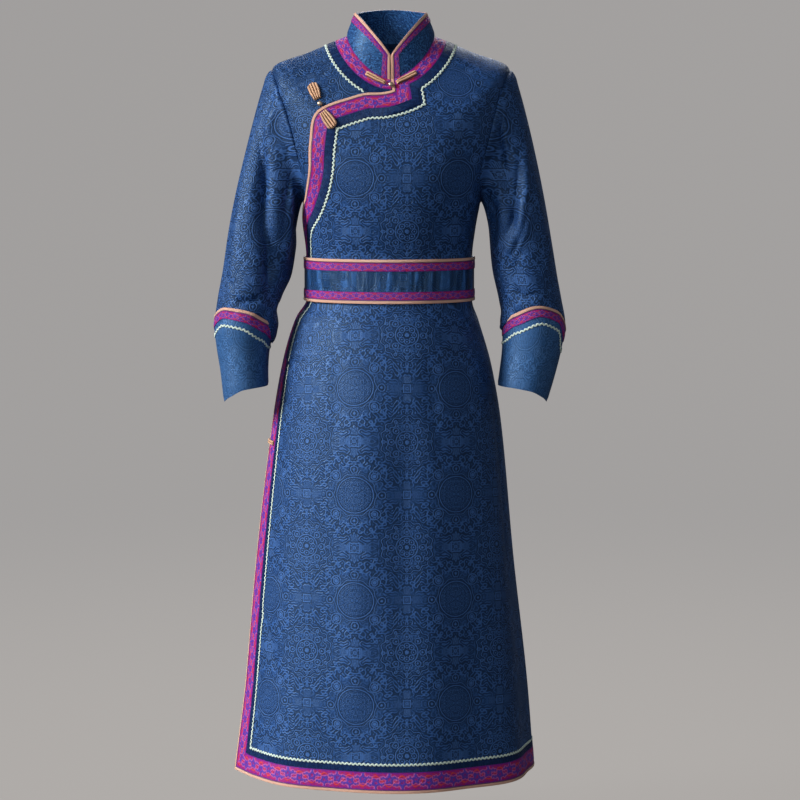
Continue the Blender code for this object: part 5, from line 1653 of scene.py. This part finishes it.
def overlap_front():
    """The outer front and all that is sewn along its neck, flap, side and hem."""
    neck = degrees_line(90, 0, NECK_STEPS, 0.0)
    edge = overlap_edge()
    drop_line = fine_line(np.vstack([neck[-1], edge[0]]))
    hem = np.vstack([edge[-1], degrees_line(-70, 90, HEM_STEPS * 2 - 3, HEM)])
    outline = join(
        neck, drop_line, edge, hem, seam_down(90, HEM, UNDERARM_DROP),
        armhole_half("left", "front")[::-1], seam_down(90, SHOULDER_DROP, 0.0),
    )
    beyond_neck = np.vstack([[math.radians(90 + PAST_SIDE), 0.0], neck])
    beyond_hem = np.vstack([hem, [math.radians(96), HEM]])
    turning = int(np.argmin(np.abs(edge[:, 1] - BORDER_CHANGE)))
    high = join(drop_line, edge[:turning + 2])
    low = join(edge[turning - 1:], beyond_hem)
    across = np.array([edge[turning], [math.radians(-50), edge[turning, 1]]])
    flap_at = np.concatenate([[BINDING], BINDING + NECK_AT])
    at_neck = [strip(overlap, beyond_neck, d) for d in NECK_AT]
    at_flap = [strip(overlap, high, d) for d in flap_at]
    at_hem = [strip(overlap, low, d) for d in HEM_AT]
    lines = [inner for _band, inner in at_neck + at_flap + at_hem[:3]]
    lines += [offset_line(overlap, line, BINDING / 2) for line in (high, low)] + [across]
    net = Net(overlap, outline, lines)
    cloth = panel("front_overlap", "brocade", net)
    is_high = net.middles[:, 1] < edge[turning, 1]
    taken = np.zeros(len(net.faces), bool)
    bands = []
    for i in range(4):
        band = np.where(is_high, net.within(at_flap[i][0]), net.within(at_hem[i][0]))
        if i:
            band |= net.within(at_neck[i - 1][0])
        bands.append(band & ~taken)
        taken |= band
    up = np.vstack([drop_line, edge[1:turning + 2]])
    legs = legs_of(overlap, (neck, 0.0), (drop_line, BINDING), (edge[:turning + 2], BINDING))
    foot = legs_of(overlap, (edge[turning - 1:], BINDING), (beyond_hem, BINDING))
    for part, band, flap_width, hem_width in (
        ("binding", bands[0], BINDING, BINDING),
        ("braid", bands[1], NECK_BRAID, HEM_BRAID),
        ("ribbon", bands[2], NECK_RIBBON, HEM_RIBBON),
    ):
        offset = {"binding": -BINDING, "braid": 0.0, "ribbon": None}[part]
        faces = net.faces[band]
        above = is_high[band]
        flat = np.zeros((len(faces), 3, 2))
        for chosen, where, width, before in (
            (above, legs, flap_width, NECK_BRAID), (~above, foot, hem_width, HEM_BRAID),
        ):
            start = before if offset is None else offset
            spots = [(leg, at + start) for leg, at in where]
            flat[chosen] = band_pattern(net.points, faces[chosen], spots, width)
        sew(f"overlap_{part}", part, net.points, net.normals, faces, flat)
    middle = [offset_line(overlap, line, d - RICRAC / 2) for line, d in (
        (neck, NECK_AT[2]), (up, flap_at[3]), (low, HEM_AT[3]))]
    upper = meet(middle[0], middle[1])
    lower = middle[2]
    ricrac("overlap_ricrac", [
        run_on(overlap, upper[upper[:, 1] < BORDER_CHANGE]),
        run_on(overlap, lower[(lower[:, 1] > BORDER_CHANGE) & (lower[:, 0] < math.pi / 2)]),
    ])


def fine_line(line, step=0.008):
    """A straight chart line in short steps."""
    length = np.linalg.norm((line[-1] - line[0]) * (CHART, 1))
    return line[0] + (line[-1] - line[0]) * np.linspace(0, 1, max(2, round(length / step)))[:, None]


def under_front():
    """The under front, plain but for the neck border that shows above the overlap."""
    neck = degrees_line(-90, 0, NECK_STEPS, 0.0)[:-1]
    foot = HEM - UNDER_HEM_RISE
    edge = table(UNDER_EDGE_COLUMNS, UNDER_EDGE)
    free = spaced(body, np.stack([np.radians(edge["turn"]), edge["drop"]], 1), UNDER_STEP)
    hem = degrees_line(UNDER_EDGE[-1][1], UNDER_VENT_TURN, HEM_STEPS, foot)
    vent = seam_down(UNDER_VENT_TURN, foot, VENT_DROP + 0.03)
    outline = join(
        neck, free, hem, vent, seam_down(-90, VENT_DROP, UNDERARM_DROP),
        armhole_half("right", "front")[::-1], seam_down(-90, SHOULDER_DROP, 0.0),
    )
    beyond = np.vstack([[math.radians(-90 - PAST_SIDE), 0.0], neck, [0.02, 0.0]])
    bands = [strip(body, beyond, -d) for d in NECK_AT]
    flap = join(np.vstack([[0.0, 0.0], overlap_edge()[:FLAP_POINTS]]))
    cover = offset_line(overlap, flap, -FLAP_CLEAR)
    covered = np.vstack([cover, [[0.5, cover[-1, 1]], [0.5, -0.02], [cover[0, 0], -0.02]]])
    net = Net(body, outline, [inner for _band, inner in bands[:2]] + [cover])
    cloth = panel("front_under", "brocade_under", net)
    shown = ~net.within(covered)
    rings = bands_in(net, bands, shown)
    legs = legs_of(body, (neck, 0.0))
    trims = [
        lay_band("under", part, net.points, net.normals, net.faces[band], legs, offset, width)
        for part, band, offset, width in (
            ("braid", rings[0], 0.0, NECK_BRAID), ("ribbon", rings[1], NECK_BRAID, NECK_RIBBON))
    ]
    middle = offset_line(body, beyond, -(NECK_AT[2] - RICRAC / 2))
    middle = middle[(middle[:, 0] > -math.pi / 2) & ~inside(middle, covered)]
    trims.append(ricrac("under_ricrac", [run_on(body, middle)]))


def back_panel():
    """The back, in one piece, with the neck and hem borders carried round it."""
    neck = degrees_line(270, 90, NECK_STEPS * 2, 0.0)
    hem = degrees_line(90, 270, HEM_STEPS * 2, HEM)
    right_hole = armhole_half("right", "back")
    right_hole[:, 0] += 2 * math.pi
    outline = join(
        neck, seam_down(90, 0.0, SHOULDER_DROP), armhole_half("left", "back"),
        seam_down(90, UNDERARM_DROP, HEM), hem, seam_down(270, HEM, UNDERARM_DROP),
        right_hole[::-1], seam_down(270, SHOULDER_DROP, 0.0),
    )
    beyond_neck = np.vstack([
        [math.radians(270 + PAST_SIDE), 0.0], neck, [math.radians(90 - PAST_SIDE), 0.0],
    ])
    beyond_hem = np.vstack([[math.radians(84), HEM], hem, [math.radians(276), HEM]])
    at_neck = [strip(body, beyond_neck, d) for d in NECK_AT]
    at_hem = [strip(body, beyond_hem, d) for d in HEM_AT]
    lines = [inner for _band, inner in at_neck[:2] + at_hem[:3]]
    lines.append(offset_line(body, beyond_hem, BINDING / 2))
    net = Net(body, outline, lines)
    cloth = panel("back", "brocade", net)
    neck_rings = bands_in(net, at_neck)
    hem_rings = bands_in(net, at_hem)
    neck_legs = legs_of(body, (neck, 0.0))
    hem_legs = legs_of(body, (hem, 0.0))
    for name, part, band, legs, offset, width in (
        ("back_neck", "braid", neck_rings[0], neck_legs, 0.0, NECK_BRAID),
        ("back_neck", "ribbon", neck_rings[1], neck_legs, NECK_BRAID, NECK_RIBBON),
        ("back_hem", "binding", hem_rings[0], hem_legs, 0.0, BINDING),
        ("back_hem", "braid", hem_rings[1], hem_legs, BINDING, HEM_BRAID),
        ("back_hem", "ribbon", hem_rings[2], hem_legs, BINDING + HEM_BRAID, HEM_RIBBON),
    ):
        lay_band(name, part, net.points, net.normals, net.faces[band], legs,
                              offset, width)
    for name, line, d in (
        ("back_neck", beyond_neck, NECK_AT[2]), ("back_hem", beyond_hem, HEM_AT[3]),
    ):
        middle = offset_line(body, line, d - RICRAC / 2)
        middle = middle[(middle[:, 0] > math.pi / 2) & (middle[:, 0] < 3 * math.pi / 2)]
        ricrac(f"{name}_ricrac", [run_on(body, middle)])


# ---------------------------------------------------------------- sleeves and cuffs

CUFF = {side: table(CUFF_COLUMNS, rows) for side, rows in CUFF_LINES.items()}
SLEEVE_CELL = 0.005
SLEEVE_RADIUS = 0.066       # what the flat pattern is rolled on
CUFF_RADIUS = 0.05
SAG = {"right": 0.026, "left": 0.010}      # how far the sleeve's inner side hangs over the cuff
SAG_PHASE = math.radians(195)
SAG_SPAN = 0.30             # cosine of the half angle that hangs over
SAG_OVER = 0.0048           # from the cuff out to the hanging cloth
SAG_ROUND = (1.15, 1.2, 1.05, 0.75)     # how far each row that hangs over stands out
SAG_ROWS = 6                # rows above the seam over which the sleeve swells
CUFF_ROWS = 12              # rows of the cuff below its trims
CUFF_RICRAC_ROW = 7
TURN_STEP = 0.05            # radians to each side, for the seam's slope


def cuff_line(side, phase, name):
    """Level of the cuff's seam or mouth round the arm."""
    return loop_spline(phase, CUFF[side]["phase"], CUFF[side][name])


def run_at(z):
    """The sleeve's run at a level below the set-in stretch."""
    return SET_IN + SET_IN_Z - z


def tube(side, levels):
    """Points, normals, triangles and flat pattern of the sleeve for rows of runs.

    The pattern goes round each row by its angle from the row's middle, cut at the inner side.
    """
    runs = np.array(levels)
    phases = np.broadcast_to(PHASES, runs.shape)
    points = sleeve(side)(phases, runs)
    away = points - points.mean(1, keepdims=True)
    angle = np.arctan2(-away[..., 1], SIDE[side] * away[..., 0]).reshape(-1)
    down = np.where(runs > SET_IN, runs, -points[..., 2] + SET_IN + SET_IN_Z).reshape(-1)
    points = points.reshape(-1, 3)
    out = sleeve_normals(side, phases, runs).reshape(-1, 3)
    faces, cells = grid_faces(len(runs), ARM_COLUMNS, closed=True)
    faces = facing(points, out, faces)
    around = angle[faces]
    cut = np.ptp(around, axis=1) > math.pi
    around[cut] = np.where(around[cut] < 0, around[cut] + 2 * math.pi, around[cut])
    return points, out, faces, cells, np.stack([around * SLEEVE_RADIUS, down[faces]], -1)


def sleeve_piece(side):
    """The set-in sleeve down to its cuff's seam, its inner side sagging over the cuff."""
    seam = run_at(cuff_line(side, PHASES, "seam_z"))
    rows = round(float(seam.max()) / SLEEVE_CELL)
    levels = [seam * t for t in np.linspace(0, 1, rows + 1)]
    sag = SAG[side] * ease((np.cos(PHASES - SAG_PHASE) - SAG_SPAN) / (1 - SAG_SPAN))
    levels += [seam + sag * (i + 1) / len(SAG_ROUND) for i in range(len(SAG_ROUND))]
    points, out, faces, _cells, flat = tube(side, levels)
    over = np.zeros((len(levels), ARM_COLUMNS))
    rising = ease((np.arange(rows + 1) - (rows - SAG_ROWS)) / (SAG_ROWS - 1))
    over[:rows + 1] = rising[:, None] * sag / SAG[side] * SAG_OVER
    over[rows + 1:] = np.outer(SAG_ROUND, sag / SAG[side] * SAG_OVER)
    points = points + out * over.reshape(-1)[:, None]
    keep = sag[faces % ARM_COLUMNS].max(1) > 0.0005
    keep |= (faces // ARM_COLUMNS).max(1) <= rows
    faces, flat = faces[keep], flat[keep]
    piece = wall(f"sleeve_{side}", "brocade", points, out, faces, 0.0, CLOTH, DRAW_IN, flat,
                 PANEL_ROLL)


def cuff_piece(side):
    """The cuff under its arched seam, with its binding, braid and ric-rac."""
    seam = cuff_line(side, PHASES, "seam_z")
    mouth = cuff_line(side, PHASES, "mouth_z")
    ahead, behind = (cuff_line(side, PHASES + t, "seam_z") for t in (TURN_STEP, -TURN_STEP))
    slope = (ahead - behind) / (2 * TURN_STEP * CUFF_RADIUS)
    steep = np.sqrt(1 + slope ** 2)
    bands = np.cumsum((BINDING / 2, BINDING / 2, CUFF_BRAID / 3, CUFF_BRAID / 3, CUFF_BRAID / 3,
                       CUFF_RIBBON, RICRAC / 2, RICRAC / 2))
    bands = np.concatenate([[0.0], bands])
    levels = [run_at(seam - d * steep) for d in bands]
    last = seam - bands[-1] * steep
    down = np.linspace(0, 1, CUFF_ROWS + 1)[1:]
    levels += [run_at(last + (mouth - last) * t) for t in down]
    points, out, faces, cells, flat = tube(side, levels)
    name = f"cuff_{side}"
    cloth = wall(name, "satin", points, out, faces, 0.0, CLOTH, DRAW_IN, flat, PANEL_ROLL)
    for part, rows, first, width in (
        ("binding", (0, 1), 0, BINDING), ("braid", (2, 3, 4), 2, CUFF_BRAID),
    ):
        chosen = np.isin(cells[:, 0], rows)
        band = flat[chosen].copy()
        across = faces[chosen] // ARM_COLUMNS
        band[..., 1] = bands[across] - bands[first]
        sew(f"{name}_{part}", part, points, out, faces[chosen], band / width)
    ring = slice(CUFF_RICRAC_ROW * ARM_COLUMNS, (CUFF_RICRAC_ROW + 1) * ARM_COLUMNS)
    ricrac(f"{name}_ricrac", [(points[ring], out[ring], True)])


# ---------------------------------------------------------------- collar and belt

COLLAR_STEP = 2.2           # degrees
COLLAR_ROLL = 0.0006
BELT_ROLL = 0.0004


def collar_piece():
    """The standing collar, open at the front, bound along its top and both front ends."""
    ends = [COLLAR_END_TURN] + [COLLAR_END_TURN + t for t in (2.1, 4.3, 7.9, 11.5)]
    count = round((360 - 2 * ends[-1]) / COLLAR_STEP)
    between = np.linspace(ends[-1], 360 - ends[-1], count + 1)
    turns = ends[:-1] + list(between) + [360 - t for t in reversed(ends[:-1])]
    turn = np.radians(turns)
    tall = np.linalg.norm(collar(turn, 1.0) - collar(turn, 0.0), axis=1)
    low = 1 - (BINDING + COLLAR_BAND) / tall
    rise = [low * t for t in (0.0, 0.2, 0.4, 0.6, 0.8, 1.0)]
    rise += [1 - (BINDING + COLLAR_BAND / 2) / tall, 1 - BINDING / tall, 1 - BINDING / 2 / tall]
    rise = np.array(rise + [np.ones(len(turn))])
    phases = np.broadcast_to(turn, rise.shape)
    points = collar(phases, rise)
    across = collar(phases + 0.01, rise) - collar(phases - 0.01, rise)
    up = collar(phases, rise + 0.02) - collar(phases, rise - 0.02)
    out = unit(np.cross(across, up)).reshape(-1, 3)
    step = np.linalg.norm(np.diff(points, axis=1), axis=2)
    arc = np.concatenate([np.zeros((len(rise), 1)), np.cumsum(step, 1)], 1)
    high = (1 - rise) * tall
    points = points.reshape(-1, 3)
    points[:, 2] += COLLAR_SEAT * np.where(np.arange(len(points)) < len(turn), -0.6, 1.0)
    faces, cells = grid_faces(len(rise), len(turn))
    faces = facing(points, out, faces)
    flat = np.stack([arc.reshape(-1), high.reshape(-1)], 1)[faces]
    cloth = wall("collar", "collar_satin", points, out, faces, 0.0, COLLAR_WALL, 0.0, flat,
                 COLLAR_ROLL)
    last = len(turn) - 2
    side = np.minimum(cells[:, 1], last - cells[:, 1])
    top = len(rise) - 2 - cells[:, 0]
    end = side // 2
    level = top // 2
    edge = np.minimum(end, level)
    grid = points.reshape(*rise.shape, 3)
    corner = [grid[:, 0], grid[-1], grid[:, -1][::-1]]
    legs = [(leg, 0.0) for leg in corner]
    for part, band, offset, width in (
        ("binding", edge == 0, 0.0, BINDING), ("braid", edge == 1, BINDING, COLLAR_BAND),
    ):
        lay_band("collar", part, points, out, faces[band], legs, offset, width,
                              COLLAR_WALL)


BELT_LIFT = table(BELT_SEAT_COLUMNS, BELT_SEAT)
BELT_STEPS = 120


def belt_piece():
    """The belt, a stiff satin band with a braid and a binding along each edge."""
    turn = np.linspace(-math.pi, math.pi, BELT_STEPS, endpoint=False)
    lift = spline(np.degrees(turn), BELT_LIFT["turn"], BELT_LIFT["lift"])
    ring = body(turn, WAIST_DROP)
    out = normals(body, turn, np.full(BELT_STEPS, WAIST_DROP + BELT_HEIGHT / 2))
    out[:, 2] = 0
    out = unit(out)
    middle = BELT_HEIGHT - 2 * (BINDING + BELT_BRAID)
    down = [BINDING * t for t in (0.0, 0.5, 1.0)]
    down += [BINDING + BELT_BRAID * t for t in (0.5, 1.0)]
    down += [BINDING + BELT_BRAID + middle * t for t in (0.2, 0.4, 0.6, 0.8, 1.0)]
    down = np.array(down + [BELT_HEIGHT - d for d in reversed(down[:4])])
    rows = []
    for depth in down:
        row = ring + out * lift[:, None]
        row[:, 2] = BELT_TOP_Z - depth
        rows.append(row)
    points = np.vstack(rows)
    step = np.linalg.norm(np.roll(rows[0], -1, 0) - rows[0], axis=1)
    arc = np.concatenate([[0], np.cumsum(step)])
    arc -= arc[BELT_STEPS // 2]
    out = np.tile(out, (len(down), 1))
    faces, cells = grid_faces(len(down), BELT_STEPS, closed=True)
    columns = faces % BELT_STEPS
    wrapped = (columns == 0) & (cells[:, 1] == BELT_STEPS - 1)[:, None]
    flat = np.stack([arc[columns + wrapped * BELT_STEPS], down[faces // BELT_STEPS]], -1)
    turned = facing(points, out, faces)
    swapped = turned[:, 1] != faces[:, 1]
    flat[swapped] = flat[swapped][:, ::-1]
    cloth = wall("belt", "belt_satin", points, out, turned, 0.0, BELT_WALL, 0.0, flat,
                 BELT_ROLL)
    for name, part, rows, top, width in (
        ("belt_binding_top", "binding", (0, 1), 0.0, BINDING),
        ("belt_braid_top", "braid", (2, 3), BINDING, BELT_BRAID),
        ("belt_braid_foot", "braid", (9, 10), BELT_HEIGHT - BINDING, -BELT_BRAID),
        ("belt_binding_foot", "binding", (11, 12), BELT_HEIGHT, -BINDING),
    ):
        chosen = np.isin(cells[:, 0], rows)
        band = (flat[chosen] - (0.0, top)) / width
        sew(name, part, points, out, turned[chosen], band, BELT_WALL)


# ---------------------------------------------------------------- frogs and knots

CORD_PARTS = 6              # steps across one cord
FROG_NARROW = 0.70          # a bar's width at its knot, as a share of its width at the far end
FROG_STEPS = 24             # steps along a bar
FROG_SQUARE = 16            # how suddenly its cords dip at both ends


def cord_tops(lines):
    """Height of rounded cords side by side, 0 between two and 1 on top."""
    place_in = np.arange(lines) % CORD_PARTS / CORD_PARTS
    return np.sqrt(np.clip(1 - (2 * place_in - 1) ** 2, 0, 1))


def frog_bar(name):
    """A frog's bar: rounded cords side by side, sewn flat on the front."""
    x0, z0, x1, z1, width, cords, under, broad = FROGS[name]
    surface = overlap if name in ON_OVERLAP else body
    level = CLOTH + LAY + under
    start = np.array([x0, z0])
    run = np.array([x1, z1]) - start
    side = np.array([-run[1], run[0]]) / np.linalg.norm(run)
    lines = cords * CORD_PARTS + 1
    t = np.linspace(0, 1, FROG_STEPS + 1)
    rank = np.linspace(-1, 1, lines)
    far = t if broad else 1 - t
    spread = FROG_NARROW + (1 - FROG_NARROW) * ease(far / 0.6)
    across = (np.outer(spread, rank) * width / 2)[..., None]
    length = np.linalg.norm(run)
    shorter = 1 - (1 - np.sqrt(1 - (0.93 * rank) ** 2)) * width * 0.45 / length
    along = far[:, None] * shorter
    along = (along if broad else 1 - along)[..., None]
    spots = (start + run * along + side * across).reshape(-1, 2)
    chart = on_front(spots[:, 0], spots[:, 1], surface)
    points = surface(chart[:, 0], chart[:, 1])
    out = normals(surface, chart[:, 0], chart[:, 1])
    faces, _cells = grid_faces(FROG_STEPS + 1, lines)
    faces = facing(points, out, faces)
    ends = np.sqrt(np.clip(1 - (2 * t - 1) ** FROG_SQUARE, 0, 1)) * 0.6 + 0.4
    high = level + CORD_HEIGHT * np.outer(ends, 0.28 + 0.82 * cord_tops(lines)).reshape(-1)
    flat = np.stack(np.broadcast_arrays(along[..., 0] * length, (rank / 2 * cords)[None]), -1)
    wall(name, "cord", points, out, faces, level - SINK, high, 0.0, flat.reshape(-1, 2)[faces])


def knot(name):
    """The ball button that joins a frog's two bars: a pearl in a turned cord ring."""
    x, z, under = KNOTS[name]
    surface = overlap if name in ON_OVERLAP else body
    turn, drop = on_front(x, z, surface)
    level = CLOTH + LAY + under
    out = normals(surface, turn, drop)
    mesh = bpy.data.meshes.new(name)
    ball = bmesh.new()
    bmesh.ops.create_uvsphere(ball, u_segments=32, v_segments=20, radius=KNOT_RADIUS)
    for vert in ball.verts:
        around = math.atan2(vert.co.y, vert.co.x)
        tilt = math.asin(max(-1, min(1, vert.co.z / KNOT_RADIUS)))
        vert.co *= 1 + 0.02 * math.cos(6 * around + 2.5 * tilt) * math.cos(tilt)
        vert.co.z *= KNOT_FLAT
    ball.to_mesh(mesh)
    ball.free()
    mesh.shade_smooth()
    centre = surface(turn, drop) + out * (level + KNOT_RADIUS * KNOT_FLAT)
    turn_to = Vector(out).to_track_quat("Z", "Y").to_matrix().to_4x4()
    mesh.transform(Matrix.Translation(Vector(centre)) @ turn_to)
    dress(mesh, name, "gold_metal")


def toggle():
    """The small strap over the overlap's edge, down to the back panel behind it."""
    over = CLOTH + TRIM + 3 * LAY
    edge = math.radians(TOGGLE_EDGE)
    lines = 2 * CORD_PARTS + 1
    rows = []
    outs = []
    for t in np.linspace(0, 1, TOGGLE_ROWS):
        turn = math.radians(TOGGLE_START + (TOGGLE_END - TOGGLE_START) * t)
        drop = TOGGLE_DROP + np.linspace(-0.5, 0.5, lines) * TOGGLE_WIDTH
        on_edge = overlap(edge, drop) + normals(overlap, np.full(lines, edge), drop) * over
        out = normals(overlap, np.full(lines, max(turn, edge)), drop)
        if turn >= edge:
            point = overlap(turn, drop) + out * over
        else:
            part = (turn - edge) / (math.radians(TOGGLE_END) - edge)
            far = np.full(lines, math.radians(TOGGLE_END))
            landed = body(far, drop) + normals(body, far, drop) * (CLOTH + LAY)
            point = on_edge + (landed - on_edge) * part + out * 0.0006 * math.sin(part * math.pi)
        rows.append(point)
        outs.append(out)
    points = np.vstack(rows)
    out = np.vstack(outs)
    faces, _cells = grid_faces(TOGGLE_ROWS, lines)
    faces = facing(points, out, faces)
    high = np.tile(0.2 + 0.8 * cord_tops(lines), TOGGLE_ROWS) * TOGGLE_WALL
    step = np.linspace(0, TOGGLE_LONG, TOGGLE_ROWS)
    flat = np.stack(np.meshgrid(step, np.linspace(0, 2, lines), indexing="ij"), -1).reshape(-1, 2)
    wall("side_toggle", "cord", points, out, faces, 0.0, high, 0.0, flat[faces])


# ---------------------------------------------------------------- studio

STUDIO_RADIUS = 9.0
STUDIO_FILLET = 3.0
STUDIO_HIGH = 9.0
CAMERA_AT = (0.0167, -5.0, -0.10)
CAMERA_DOWN = 6.187         # degrees
CAMERA_LENS = 122.33
STUDIO_SIDES = 96
# Each lamp: strength, the direction that it shines from, its width in degrees and its colour
LAMPS = {
    "key": (4.3, (-0.87, -0.29, 0.40), 22, (1.0, 0.985, 0.96)),
    "front": (0.62, (-0.25, -0.91, 0.25), 40, (1.0, 0.99, 0.97)),
    "fill": (0.16, (0.92, -0.40, 0.25), 50, (0.9, 0.95, 1.0)),
    "back": (1.3, (0.12, 0.80, 0.58), 30, (0.98, 0.98, 1.0)),
}
AIR_COLOUR = (0.93, 0.96, 1.0, 1.0)
AIR_STRENGTH = 0.055


def studio():
    """A round pale studio: a floor that curves up into a wall all round."""
    profile = [(0.0, 0.0)]
    inner = STUDIO_RADIUS - STUDIO_FILLET
    profile += [(inner * t, 0.0) for t in np.linspace(0.1, 1, 8)]
    bend = np.linspace(0, math.pi / 2, 17)[1:]
    profile += [
        (inner + STUDIO_FILLET * math.sin(a), STUDIO_FILLET * (1 - math.cos(a))) for a in bend
    ]
    profile.append((STUDIO_RADIUS, STUDIO_HIGH))
    around = np.linspace(0, 2 * math.pi, STUDIO_SIDES, endpoint=False)
    points = np.array([
        (r * math.cos(a), r * math.sin(a), FLOOR_Z + h) for r, h in profile[1:] for a in around
    ])
    faces, _cells = grid_faces(len(profile) - 1, STUDIO_SIDES, closed=True)
    verts = np.vstack([points, [(0.0, 0.0, FLOOR_Z)]])
    centre = [(len(points), i, (i + 1) % STUDIO_SIDES) for i in range(STUDIO_SIDES)]
    mesh = bpy.data.meshes.new("studio")
    mesh.from_pydata(verts.tolist(), [], faces.tolist() + centre)
    mesh.shade_smooth()
    wall_piece = bpy.data.objects.new("studio", mesh)
    mesh.materials.append(MATERIALS["studio"])
    bpy.context.scene.collection.objects.link(wall_piece)
    wall_piece.visible_shadow = False
    wall_piece.visible_diffuse = False
    wall_piece.visible_glossy = False


def lamp(name, strength, toward, size, colour):
    """A soft sun that shines from a direction."""
    data = bpy.data.lights.new(name, "SUN")
    data.energy = strength
    data.color = colour
    data.angle = math.radians(size)
    made = bpy.data.objects.new(name, data)
    made.rotation_mode = "QUATERNION"
    made.rotation_quaternion = Vector(toward).to_track_quat("Z", "Y")
    bpy.context.scene.collection.objects.link(made)


def camera():
    """The photo's viewing angle."""
    data = bpy.data.cameras.new("camera")
    data.lens = CAMERA_LENS
    data.sensor_width = 36.0
    data.clip_end = 100
    made = bpy.data.objects.new("camera", data)
    made.location = CAMERA_AT
    made.rotation_euler = (math.radians(90 - CAMERA_DOWN), 0.0, 0.0)
    bpy.context.scene.collection.objects.link(made)
    bpy.context.scene.camera = made


def light_scene():
    """Soft light from the photo's left, with little from the front and the right."""
    scene = bpy.context.scene
    scene.view_settings.view_transform = "Standard"
    world = bpy.data.worlds.new("studio air")
    world.use_nodes = True
    air = world.node_tree.nodes["Background"].inputs
    air["Color"].default_value = AIR_COLOUR
    air["Strength"].default_value = AIR_STRENGTH
    scene.world = world
    for name, row in LAMPS.items():
        lamp(name, *row)


# ---------------------------------------------------------------- the robe

camera()
overlap_front()
under_front()
back_panel()
for hand in SIDE:
    sleeve_piece(hand)
    cuff_piece(hand)
collar_piece()
belt_piece()
for frog in FROGS:
    frog_bar(frog)
for ball in KNOTS:
    knot(ball)
toggle()
studio()
light_scene()
